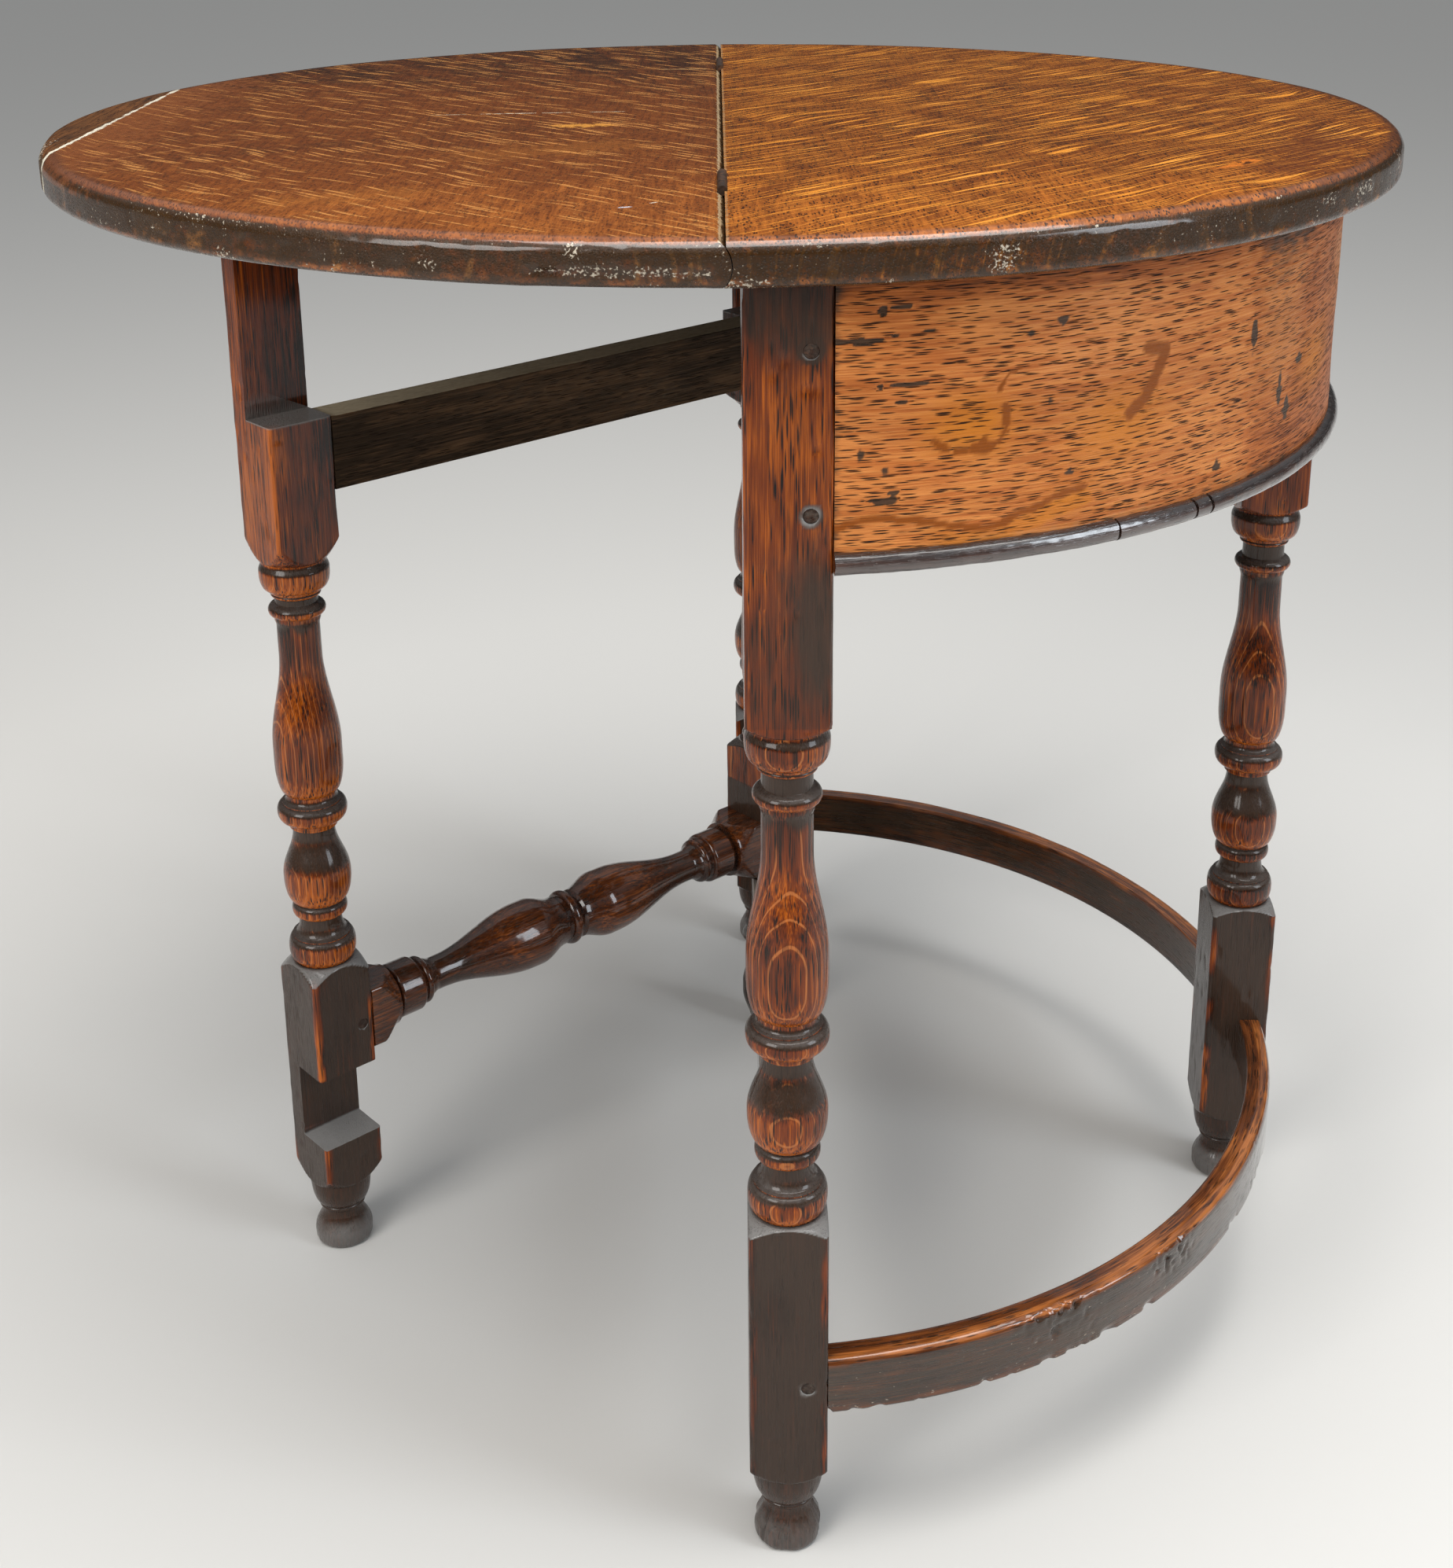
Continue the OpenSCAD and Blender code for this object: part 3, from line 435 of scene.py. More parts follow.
def stretcher_shape(seed, pitted=()):
    """Upper outer arris rubbed round by feet, lower arris chipped. pitted holds the angle and width of the places
    that worms have opened."""
    def shape(radius, angle, z):
        at = round_points(radius, angle, z)
        r_in = STRETCHER_R - STRETCHER_T
        top = STRETCHER_LOW + STRETCHER_H
        out_arris = step(r_in + 6, STRETCHER_R, radius) * step(top - 7, top - 0.5, z)
        low_arris = step(r_in + 7, STRETCHER_R, radius) * (1 - step(STRETCHER_LOW + 0.5, STRETCHER_LOW + 6, z))
        rub = 5.6 + 1.4 * noise(at, (40, 40, 60), seed)
        over_r, over_z = np.clip(radius - STRETCHER_R + rub, 0, None), np.clip(z - top + rub, 0, None)
        past = np.clip(np.hypot(over_r, over_z), rub, None) / rub
        corner = (radius > STRETCHER_R - rub) & (z > top - rub)
        radius = np.where(corner, STRETCHER_R - rub + (radius - STRETCHER_R + rub) / past, radius)
        z = np.where(corner, top - rub + (z - top + rub) / past, z)
        chips = np.clip(noise(at, (7, 7, 30), seed + 1) - 0.15, 0, 1) * 4.2 * low_arris
        face = step(STRETCHER_R - 1.5, STRETCHER_R - 0.2, radius)
        where = np.degrees(angle)
        eaten = sum(np.exp(-((where - a) / wide) ** 2) for a, wide in pitted)
        eaten = eaten * step(STRETCHER_LOW + 8, STRETCHER_LOW + 20, z)
        opened = np.clip(eaten + 0.5 * noise(at, (32, 32, 60), seed + 3) - 0.12, 0, 1)
        pits = np.clip(noise(at, (3.2, 3.2, 2.4), seed + 2) - 0.05, 0, 1) * opened
        uneven = 0.15 + 0.15 * noise(at, (20, 20, 9), seed + 4)
        sunk = (face + out_arris) * 3.0 * pits + face * uneven + chips * 0.5
        z = z + chips * 0.7
        upper = step(top - 0.8, top - 0.1, z)
        z = z - upper * (0.2 + 0.2 * noise(at, (20, 20, 9), seed + 5))
        return radius - sunk, z
    return shape


front_frieze = curved_bar("front_frieze_board", *FRIEZE, 360, (4, 1.6), frieze_shape(21, TEARS))
rear_frieze = mirrored(curved_bar("rear_frieze_board", *FRIEZE, 220, (5, 3), frieze_shape(26, TEARS[4:])))
front_stretcher = curved_bar("front_stretcher_board", *STRETCHER, 380, (1.6, 1.5),
                             stretcher_shape(31, ((-63, 4.0), (-46.5, 3.2))))
rear_stretcher = mirrored(curved_bar("rear_stretcher_board", *STRETCHER, 300, (2, 2), stretcher_shape(37)))


def bead(name, start, end, seed):
    """A length of the half-round moulding at the foot of the frieze, with broken ends."""
    edge = math.degrees(math.acos((SIDE_X - CURVE_X) / (FRIEZE_R + BEAD_H / 2)))
    start, end = max(start, -edge), min(end, edge)
    n = max(6, round((end - start) * 4))
    turn = np.radians(np.linspace(-90, 90, 19))
    front = np.stack([np.cos(turn), np.sin(turn)], 1)
    back = np.stack([np.full(7, -0.0), np.linspace(1, -1, 9)[1:-1]], 1)
    out, up = (np.concatenate([front, back]) * BEAD_H / 2).T
    rings = []
    for s in np.linspace(0, 1, n + 1):
        a = math.radians(start + s * (end - start))
        ragged = 0.0
        if s in (0.0, 1.0):
            ragged = 0.35 + 0.35 * noise(stacked(out, up, seed + s), 2.2, seed)
            ragged = ragged if s == 0 else -ragged
        at = round_points(FRIEZE_R, a, up)
        worn = 0.03 + 0.035 * noise(at, (16, 16, 4), seed + 1) + 0.02 * noise(at, (4, 4, 4), seed + 2)
        worn = 1 - np.clip(worn, 0.0, 0.2)
        z = FRIEZE_LOW + BEAD_H / 2 + up * np.where(out > 0, worn, 0.98)
        broken = a + np.radians(ragged / (FRIEZE_R * math.pi / 180))
        rings.append(round_points(FRIEZE_R + out * worn, broken, z) + (CURVE_X, 0, 0))
    rings = np.array(rings)
    rings[..., 0] = np.maximum(rings[..., 0], SIDE_X)
    return loft(name, rings)


BEADS = [("bead_front_long", -90, BREAKS[0], 41), ("bead_front_short", BREAKS[0] + BEAD_GAP / 2, BREAKS[1], 42),
         ("bead_patch", BREAKS[1] + BEAD_GAP, BREAKS[2], 43), ("bead_bow", BREAKS[2] + BEAD_GAP, 0, 44),
         ("bead_rear", 0, 90, 45)]
beads = {name: bead(name + "_moulding", start, end, seed) for name, start, end, seed in BEADS}


# ---------------------------------------------------------------- straight rails
def straight_bar(name, half_x, half_z, y0, y1, corner, seed, steps):
    """A rough straight bar along Y, its section centred on the origin."""
    ring = section_ring(half_x, half_z, corner, *steps)
    ys = np.linspace(y0, y1, max(2, round(abs(y1 - y0) / 4)) + 1)
    at = stacked(ring[None, :, 0], ys[:, None], ring[None, :, 1])
    sunk = 0.3 * (1 + noise(at, (12, 90, 12), seed)) * 0.5 + 0.3 * 0.3 * (1 + noise(at, (4, 14, 4), seed + 1)) * 0.5
    x, z = at[..., 0], at[..., 2]
    flat_x, flat_z = np.abs(x) > half_x - 0.01, np.abs(z) > half_z - 0.01
    scale = 1 - sunk / np.hypot(x, z)
    moved = [np.where(flat_x | flat_z, v - np.sign(v) * np.where(flat, sunk, 0), v * scale)
             for v, flat in ((x, flat_x), (z, flat_z))]
    return loft(name, stacked(moved[0], at[..., 1], moved[1]))


def back_bar(name, low, high, corner, seed, steps, bore):
    """A bar of the back frame between front and rear leg, bored for the gate's pivot between the heights in bore."""
    inner_y = LEG_Y - HALF_W
    made = straight_bar(name, RAIL_T / 2, (high - low) / 2, -inner_y, inner_y, corner, seed, steps)
    place(made, FRAME_X, 0, (high + low) / 2)
    return cut(made, rod("pivot_bore", *((FRAME_X, PIVOT_Y, z) for z in bore), PIVOT_R + 0.1))


back_rail = back_bar("back_rail_board", RAIL_LOW, LEAF_LOW, 1.0, 51, (4, 3), (RAIL_LOW - 2, RAIL_LOW + 31))
back_stretcher = back_bar("back_stretcher_bar", BACK_LOW, BACK_TOP, 1.6, 53, (3, 2.5), (BACK_LOW - 2, BACK_TOP + 2))


# ---------------------------------------------------------------- gate, built closed along -Y and swung open
def gate_peg_hole(y):
    return rod("peg_hole", (HALF_W + 2, y, TURNED_Z), (HALF_W - PEG_LEN - 0.5, y, TURNED_Z), PEG_R + HOLE_GAP)


def notch(name, low, high):
    """Cuts the gate leg back to its web between two heights."""
    return box(name, (NOTCH_WEB - HALF_W, -GATE_LEN - 40, low), (40, -GATE_LEN + 40, high))


gate_leg = place(leg("gate_leg_turned", GATE_TOP, 61, high_low=GATE_HIGH_LOW, turned=(12, 10, 15)), 0, -GATE_LEN, 0)
cut(gate_leg, notch("low_notch", NOTCH_LOW, NOTCH_TOP), notch("high_notch", GATE_RAIL_TOP, TOP_H),
    gate_peg_hole(GATE_PEG_Y[0]))
swung(gate_leg)

gate_rail = straight_bar("gate_rail_bar", GATE_RAIL_T / 2, (GATE_RAIL_TOP - GATE_RAIL_LOW) / 2, HALF_W - GATE_LEN,
                         -HALF_W, 1.4, 63, (3, 2.5))
swung(place(gate_rail, HALF_W - GATE_RAIL_T / 2, 0, (GATE_RAIL_TOP + GATE_RAIL_LOW) / 2))

HALF_SPAN = GATE_LEN / 2 - HALF_W
GATE_HALF = respaced(np.concatenate([
    [(CORNER_R, 0)], ease(CORNER_R, 4, 20.2, 22, 14), [(15.5, 21.9)], arc(15.5, 27, 2.5, -90, 0, 8),
    arc(15.5, 41, 2.5, 0, 90, 8), arc(13.5, 48, 2.4, -75, 75, 10), ease(13, 51, 11, 58, 8), ease(11, 63, 23, 132, 50),
    ease(23, 138, 17, 160, 18), [(14.5, 162.5)], arc(15.5, 168, 3.5, -90, 0, 10)]), 1.3)
other_half = GATE_HALF[::-1][1:].copy()
other_half[:, 1] = 2 * HALF_SPAN - other_half[:, 1]
gate_outline = np.concatenate([GATE_HALF, other_half])


def gate_square(s):
    return np.where(np.minimum(s, 2 * HALF_SPAN - s) <= 22.0, HALF_W, UNCLIPPED)


gate_stretcher = turned_bar("gate_stretcher_turned", gate_outline, gate_square, 65, wear=0.5)
swung(place(gate_stretcher, 0, -HALF_W, TURNED_Z, Matrix.Rotation(math.pi / 2, 4, "X")))

POST_LOW, POST_HIGH = BACK_TOP + 0.3, RAIL_LOW - 0.3
POST_OUTLINE = np.concatenate([
    [(0.5, POST_LOW - 45.0), (PIVOT_R, POST_LOW - 45.0), (PIVOT_R, POST_LOW), (SHOULDER_R, POST_LOW)],
    ease(SHOULDER_R, POST_LOW, CORNER_R, POST_LOW + 9, 10), ease(CORNER_R, POST_LOW_TOP - 9, 18.3, POST_LOW_TOP, 12),
    arc(12.5, 242, 4, -80, 90, 14), ease(11.5, 247, 16.5, 298, 40), ease(16.5, 308, 11.5, 470, 110),
    arc(11.5, 476, 4, -80, 90, 12), [(12.5, 484), (14.5, POST_HIGH_LOW - 1)],
    ease(18.3, POST_HIGH_LOW, CORNER_R, POST_HIGH_LOW + 9, 10), [(CORNER_R, POST_HIGH), (PIVOT_R, POST_HIGH),
    (PIVOT_R, POST_HIGH + 29), (0.5, POST_HIGH + 29)]])
FOOT_OF_POST = np.concatenate([
    [(0.5, 1.5), (10.5, 1.5)], ease(11.5, 1.5, 17.5, 27.5, 26), ease(17.5, 35.5, 14.5, 51.5, 16),
    ease(14.5, 51.5, 14.0, 71.7, 14), arc(13.5, 75.7, 4, -90, 60, 12), [(14.5, 83.7), (0.5, 83.7)]])


def post_square(z):
    return np.where(in_blocks(z, (POST_LOW, POST_LOW_TOP), (POST_HIGH_LOW, POST_HIGH)), HALF_W, UNCLIPPED)


gate_post = turned_bar("gate_post_turned", respaced(POST_OUTLINE, 1.8), post_square, 67)
swung(cut(gate_post, gate_peg_hole(GATE_PEG_Y[1])))
gate_post_foot = swung(turned_bar("gate_post_foot_turned", respaced(FOOT_OF_POST, 1.3), None, 69, wobble=0.12))


# ---------------------------------------------------------------- top: two half-round leaves and the outer strip
def leaf_disc(name, seed, crack=False):
    """A whole round board with a worn rim, before it is cut back to its own half. Its points are close together on
    that half."""
    fine = np.linspace(-93, 93, 561)
    a = np.radians(np.concatenate([fine, np.linspace(93, 267, 60)[1:-1]]))
    if crack:
        a = a + math.pi
    rim = np.concatenate([
        arc(LEAF_R - ARRIS_LOW, LEAF_LOW + ARRIS_LOW, ARRIS_LOW, -90, 0, 8),
        np.stack([np.full(5, LEAF_R), np.linspace(LEAF_LOW + ARRIS_LOW, TOP_H - ARRIS_TOP, 7)[1:-1]], 1),
        arc(LEAF_R - ARRIS_TOP, TOP_H - ARRIS_TOP, ARRIS_TOP, 0, 90, 14)])
    inner = np.array([1.0, 60, 120, 180, 240, 300, 330, 350, 360, 366, 370])
    section = np.concatenate([np.stack([inner, np.full(len(inner), LEAF_LOW)], 1), rim,
                              np.stack([inner[::-1], np.full(len(inner), TOP_H)], 1)])
    r, z = section.T[:, :, None]
    at = round_points(LEAF_R, a, z)
    out = step(LEAF_R - 9, LEAF_R - 1, r)
    sunk = 0.35 + 0.35 * noise(at, (70, 70, 40), seed) + 0.16 * (1 + noise(at, (9, 9, 7), seed + 1))
    sunk = sunk + 1.2 * np.clip(noise(at, (6, 6, 4), seed + 2) - 0.55, 0, 1)
    worn_top = step(TOP_H - 8, TOP_H - 1, z) * step(LEAF_R - 10, LEAF_R - 4, r)
    z = z - worn_top * (0.25 + 0.25 * noise(at, (40, 40, 60), seed + 3))
    if crack:
        x = LEAF_R * np.cos(a)
        span = step(-1, 1, -np.sin(a) * 10) * step(-86, -74, x) * (1 - step(-9, -4, x))
        line = LEAF_LOW + 7.0 + 0.8 * noise(at * (1, 1, 0), (14, 14, 14), seed + 4)
        below, split = 1 - step(-0.6, 0.4, z - line), np.clip(1 - np.abs(z - line) / 0.9, 0, 1)
        sunk = sunk + span * (1.3 * below + 1.6 * split)
    return loft(name, round_points(r - out * np.clip(sunk, 0.03, 4), a, z))


def nose(radius, low, high, n):
    """The rounded edge of the flap, or of its hollow, from the height low to high."""
    z = np.linspace(low, high, n)
    return np.stack([TONGUE_X + np.sqrt(radius ** 2 - (z - TONGUE_Z) ** 2), z], 1)


def joint_cutter(name, section, seed):
    """A bar along the hinge line with the given section, very slightly uneven, that cuts one leaf's meeting edge."""
    section = np.array(section, float)
    at = stacked(section[None, :, 0], np.linspace(-400, 400, 161)[:, None], section[None, :, 1])
    near = (np.abs(at[..., 0]) < 30) & (at[..., 2] > LEAF_LOW) & (at[..., 2] < TOP_H + 0.5)
    shift = 0.10 * (noise(at, (8, 26, 8), seed) + 0.6 * noise(at, (5, 6, 5), seed + 1))
    at[..., 0] += np.where(near, shift, 0)
    return loft(name, at)


def hinge_cutters(x0, x1, side):
    """The pockets for the two hinge plates of one leaf, from x0 to x1, and the holes for their screws."""
    half, low = HINGE_LEN / 2 + 0.3, TOP_H - PLATE_H - 0.5
    screw_z = TOP_H - 0.55 * PLATE_H
    pockets = [box("pocket", (x0, y - half, low), (x1, y + half, TOP_H + 1)) for y in (-HINGE_Y, HINGE_Y)]
    screws = [rod("screw_hole", (0, y + s, screw_z), (side * SCREW_DEEP, y + s, screw_z), SCREW_R, 16)
              for y in (-HINGE_Y, HINGE_Y) for s in (-0.3 * HINGE_LEN, 0.3 * HINGE_LEN)]
    return pockets + screws


hollow = nose(TONGUE_R + TONGUE_GAP, LEAF_LOW, TOP_H - 4.5, 16)
fixed_cut = np.concatenate([[(-FAR, LEAF_LOW - 6), (0.12, LEAF_LOW - 6), (0.12, LEAF_LOW)],
                            np.maximum(hollow, (0.12, 0)), [(1.0, TOP_H - 3.6), (1.0, TOP_H + 6), (-FAR, TOP_H + 6)]])
fixed_leaf = leaf_disc("fixed_leaf_board", 71)
cut(fixed_leaf, joint_cutter("joint_cut", fixed_cut, 75), *hinge_cutters(-PLATE_BACK, PLATE_FACE, 1))

tongue = nose(TONGUE_R, LEAF_LOW - 0.5, TOP_H + 0.5, 26)
flap_cut = np.concatenate([tongue, [(FAR, TOP_H + 0.5), (FAR, LEAF_LOW - 0.5)]])
flap_board = leaf_disc("flap_main_board", 81, crack=True)
cut(flap_board, joint_cutter("nose_cut", flap_cut, 85), box("over", (-1, -400, TOP_H + 0.4), (FAR, 400, TOP_H + 8)),
    *hinge_cutters(-PLATE_FACE, PLATE_BACK, -1))
flap_strip = added("flap_strip_board", flap_board.data.copy())
flap_strip.data.name = flap_strip.name
STRIP_X = STRIP_W - LEAF_R
cut(flap_board, box("strip_side", (-FAR, -FAR, LEAF_LOW - 5), (STRIP_X + 0.12, FAR, TOP_H + 5)))
cut(flap_strip, box("board_side", (STRIP_X - 0.12, -FAR, LEAF_LOW - 5), (FAR, FAR, TOP_H + 5)))


# ---------------------------------------------------------------- materials
RGBA = dict(out=2, data_type="RGBA")
SMOOTH = dict(interpolation_type="SMOOTHSTEP")


def colour(code):
    """A colour as seen on the screen, in hex, as the linear values that Blender mixes."""
    parts = [int(code[i:i + 2], 16) / 255 for i in (1, 3, 5)]
    return tuple(c / 12.92 if c <= 0.04045 else ((c + 0.055) / 1.055) ** 2.4 for c in parts) + (1.0,)


def node(tree, kind, sockets=(), out=0, **settings):
    """Adds a node, sets it, fills its sockets with values or links, and gives back one of its outputs."""
    made = tree.nodes.new(kind if "Node" in kind else "ShaderNode" + kind)
    for key, value in settings.items():
        setattr(made, key, value)
    for key, value in dict(sockets).items():
        if isinstance(value, bpy.types.NodeSocket):
            tree.links.new(value, made.inputs[key])
        else:
            made.inputs[key].default_value = value
    return made.outputs[out]


def drawn_out(tree, grain, size, turn=(0, 0, 0), detail=2.0, at=(0, 0, 0), out=0):
    """Noise with lumps of the given size in mm, across, through and along the grain."""
    sockets = {"Vector": grain, "Location": at, "Rotation": turn, "Scale": size}
    stretched = node(tree, "Mapping", sockets, vector_type="TEXTURE")
    return node(tree, "TexNoise", {"Vector": stretched, "Scale": 1.0, "Detail": detail}, out=out)


def new_material(name):
    made = bpy.data.materials.new(name)
    made.use_nodes = True
    return made, made.node_tree, made.node_tree.nodes["Principled BSDF"]


def stroke(tree, grain, start, end, width, ragged, lowest):
    """How much a point lies on a thin uneven mark on a leaf, from start to end, both x and y in mm, above lowest."""
    add = functools.partial(node, tree)
    a, b = Vector((start[0], 0, start[1])), Vector((end[0], 0, end[1]))
    way = b - a
    flat = add("VectorMath", {0: grain, 1: (1, 0, 1), 2: tuple(-a)}, operation="MULTIPLY_ADD")
    along = add("VectorMath", {0: flat, 1: tuple(way / way.length_squared)}, out="Value", operation="DOT_PRODUCT")
    held = add("Math", {0: along, 1: 1.0}, operation="MULTIPLY", use_clamp=True)
    back = add("VectorMath", {0: tuple(way), "Scale": held}, operation="SCALE")
    off = add("VectorMath", {0: flat, 1: back}, operation="SUBTRACT")
    off = add("VectorMath", {0: off}, out="Value", operation="LENGTH")
    rough = add("Math", {0: ragged, 1: 2.6 * width, 2: off}, operation="MULTIPLY_ADD")
    on = add("MapRange", {0: rough, 1: 2.2 * width, 2: 1.5 * width}, **SMOOTH)
    high = add("Math", {0: add("SeparateXYZ", {"Vector": grain}, out="Y"), 1: lowest}, operation="GREATER_THAN")
    return add("Math", {0: on, 1: high}, operation="MULTIPLY")


# Marks on the top in groups: size, detail and place of the noise that frays them, the height they lie above, and for
# each its start, end, half width, colour and strength.
FRAY = ((4, 4, 4), 3.0, (2, 7, 5), TOP_H - 8)
LEAF_MARKS = FRAY + ((  # knot, dark corner, pale arris along the joint
    ((275, -215), (318, -120), 30, "#4f2410", 0.55), ((250, -207), (262, -192), 6.5, "#c06a20", 0.85),
    ((255, -203), (260, -196), 2.6, "#2e160a", 0.9), ((240, -214), (250, -206), 3.0, "#c06a20", 0.7),
    ((1.6, -376), (1.6, 376), 1.0, "#9a7a55", 0.55)),)
FLAP_MARKS = FRAY + ((  # plain left end, golden patches, white scratches and blobs, pale arris along the joint
    ((-352, -200), (-352, 200), 66, "#7c4724", 0.55), ((-87, -47), (-67, -47), 9, "#c88a3a", 0.75),
    ((-120, -150), (-60, -120), 34, "#a8682a", 0.2), ((-200, -280), (-150, -260), 26, "#a8682a", 0.2),
    ((-168, 2), (-148, 3), 0.9, "#c9b99c", 0.8), ((-140, 4), (-108, 6), 1.0, "#d6cab2", 0.95),
    ((-104, 6), (-88, 7), 0.9, "#d0c2a8", 0.9), ((-76, 8), (-56, 9), 0.9, "#c9b99c", 0.85),
    ((-46, -304), (-42, -302), 2.0, "#c3c3cc", 0.95), ((-32, -293), (-30, -291), 1.0, "#c9c0ae", 0.9),
    ((-40, 217), (-11, 217), 3.0, "#b08a5a", 0.6), ((-313, -151), (-251, -83), 0.8, "#a8713f", 0.7),
    ((-1.4, -376), (-1.4, 376), 1.3, "#b09c7c", 0.8)),)
# White glue squeezed out of the joint between flap and strip, and over both of them
GLUE_LINE = ((5, 5, 9), 4.0, (1, 3, 8), 0, (((-347.5, 152), (-351.5, -146), 1.9, "#cfc8b6", 1.0),))


def oak(name, worn, middle, dark, pith=(6.0, 70.0), ring=3.2, rings=0.5, pale=0.0, wander=15, fibre=(0.9, 0.9, 32.0),
        spread=(0.7, 0.9), pores=0.8, pore_size=(1.1, 1.1, 9.0), pore="#24120a", crowded=(0.40, 0.58), flecks=(),
        strokes=None, amber=None, glow=None, grime="#241a14", thick=2.2, dust="#8a8178", edge=0.9, scuffs=0.0,
        marks=(), gloss=(0.26, 0.5), wax=0.08, rim_wax=0.0, sheen=0.12, relief=1.0):
    """Old waxed oak. Colours run from dark through middle to worn by the painted value worn. Lengths are in mm.

    pith, ring, rings, pale, wander: where the pith lies, how far apart the rings are, how dark, how light between
    them, and how far they stray. fibre, spread: the fibres' size, and how much broad patches and fibres move the
    tone. pores, pore_size, pore, crowded: the pores' strength, size and colour, and how densely they stand. thick:
    how much lighter grime is where it lies thin. edge: how ragged grime and dust end. gloss: roughness where
    handled and elsewhere."""
    made, tree, shader = new_material(name)
    add = functools.partial(node, tree)
    grain = add("Attribute", out="Vector", attribute_name="grain")
    lumps = functools.partial(drawn_out, tree, grain)
    painted = {key: add("Attribute", out="Fac", attribute_name=key)
               for key in ("worn", "grime", "dust", "scuff", "amber")}

    # Growth rings round the pith, which wander a little along the board.
    bent = add("VectorMath", {0: lumps((30, 30, 130), out="Color"), 1: (wander, wander, 0), 2: grain},
               operation="MULTIPLY_ADD")
    flat = add("VectorMath", {0: bent, 1: (1, 1, 0), 2: (-pith[0], -pith[1], 0)}, operation="MULTIPLY_ADD")
    away = add("VectorMath", {0: flat}, out="Value", operation="LENGTH")
    wave = add("Math", {0: add("Math", {0: away, 1: 2 * math.pi / ring}, operation="MULTIPLY")}, operation="SINE")
    early = add("MapRange", {0: wave, 1: 0.1, 2: 0.95}, **SMOOTH)

    # Fibres of two widths and broad patches move the tone either way.
    fine = lumps(fibre, detail=3.0)
    coarse = lumps((3.2 * fibre[0], 3.2 * fibre[1], 1.8 * fibre[2]), at=(50, 20, 9))
    broad = lumps((22, 22, 60), detail=3.0)
    tone = painted["worn"]
    for pattern, share in ((fine, spread[1]), (coarse, 0.8 * spread[1]), (broad, spread[0])):
        tone = add("Math", {0: pattern, 1: share, 2: tone}, operation="MULTIPLY_ADD")
    middling = (spread[0] + 1.8 * spread[1]) / 2
    lift = add("MapRange", {0: tone, 1: middling, 2: middling + 0.5}, **SMOOTH)
    shine = add("MapRange", {0: tone, 1: middling + 0.45, 2: middling + 0.95}, **SMOOTH)
    shade = add("Mix", {0: lift, 6: colour(dark), 7: colour(middle)}, **RGBA)
    shade = add("Mix", {0: shine, 6: shade, 7: colour(worn)}, **RGBA)
    band = add("Math", {0: early, 1: rings}, operation="MULTIPLY")
    shade = add("Mix", {0: band, 6: shade, 7: (0.42, 0.32, 0.26, 1)}, blend_type="MULTIPLY", **RGBA)
    if pale:  # thin light lines between the rings, where turning has polished them
        thin = add("MapRange", {0: wave, 1: -0.90, 2: -0.99, 3: 0.0, 4: pale}, **SMOOTH)
        for share in (lift, painted["scuff"]):
            thin = add("Math", {0: thin, 1: share}, operation="MULTIPLY")
        shade = add("Mix", {0: thin, 6: shade, 7: colour("#b8703a")}, **RGBA)

    # Open pores: short dark dashes along the grain, drawn a little wider than real so that they show.
    laid = add("Mapping", {"Vector": grain, "Scale": pore_size}, vector_type="TEXTURE")
    cells = add("TexVoronoi", {"Vector": laid, "Scale": 1.0, "Randomness": 1.0})
    dash = add("MapRange", {0: cells, 1: 0.42, 2: 0.20}, **SMOOTH)
    crowd = lumps((4 * pore_size[0], 4 * pore_size[1], 2 * pore_size[2]), at=(9, 5, 31))
    crowd = add("MapRange", {0: crowd, 1: crowded[0], 2: crowded[1]}, **SMOOTH)
    here = add("Math", {0: early, 1: 0.5, 2: crowd}, operation="MULTIPLY_ADD", use_clamp=True)
    dash = add("Math", {0: dash, 1: here}, operation="MULTIPLY")

    # Ray flecks: bright streaks across the leaf, none on its plain rim. Each has its colour, its size and turn, the
    # two heights of the noise between which it appears, and its strength.
    ray = painted["amber"] if amber else None
    if flecks:
        plain = add("Math", {0: 1.0, 1: painted["amber"]}, operation="SUBTRACT")
        sway = lumps((90, 90, 90), detail=1.0, out="Color")
        swayed = add("VectorMath", {0: sway, 1: (22, 0, 22), 2: grain}, operation="MULTIPLY_ADD")
    for code, size, turn, low, high, strength in flecks:
        streak = drawn_out(tree, swayed, size, (0, math.radians(turn), 0), detail=0.6)
        streak = add("MapRange", {0: streak, 1: low, 2: high, 3: 0.0, 4: strength}, **SMOOTH)
        streak = add("Math", {0: streak, 1: plain}, operation="MULTIPLY")
        shade = add("Mix", {0: streak, 6: shade, 7: colour(code)}, **RGBA)
        ray = streak if ray is None else add("Math", {0: ray, 1: streak}, operation="MAXIMUM")
    if strokes:  # flecks that stand apart: one in each Voronoi cell that draws a high number
        code, size, turn, rare, strength = strokes
        laid = add("Mapping", {"Vector": swayed, "Rotation": (0, math.radians(turn), 0), "Scale": size},
                   vector_type="TEXTURE")
        off = add("TexVoronoi", {"Vector": laid, "Scale": 1.0, "Randomness": 1.0})
        drawn = add("MapRange", {0: off.node.outputs["Color"], 1: rare, 2: rare + 0.08, 3: 0.0, 4: strength})
        streak = add("MapRange", {0: off, 1: 0.44, 2: 0.26}, **SMOOTH)
        for share in (drawn, plain):
            streak = add("Math", {0: streak, 1: share}, operation="MULTIPLY")
        shade = add("Mix", {0: streak, 6: shade, 7: colour(code)}, **RGBA)
    if glow:  # golden halos round the stains
        halo = add("Math", {0: coarse, 1: 0.5, 2: painted["scuff"]}, operation="MULTIPLY_ADD")
        halo = add("MapRange", {0: halo, 1: 0.30, 2: 1.1, 3: 0.0, 4: 0.9})
        shade = add("Mix", {0: halo, 6: shade, 7: colour(glow)}, **RGBA)
    if amber:
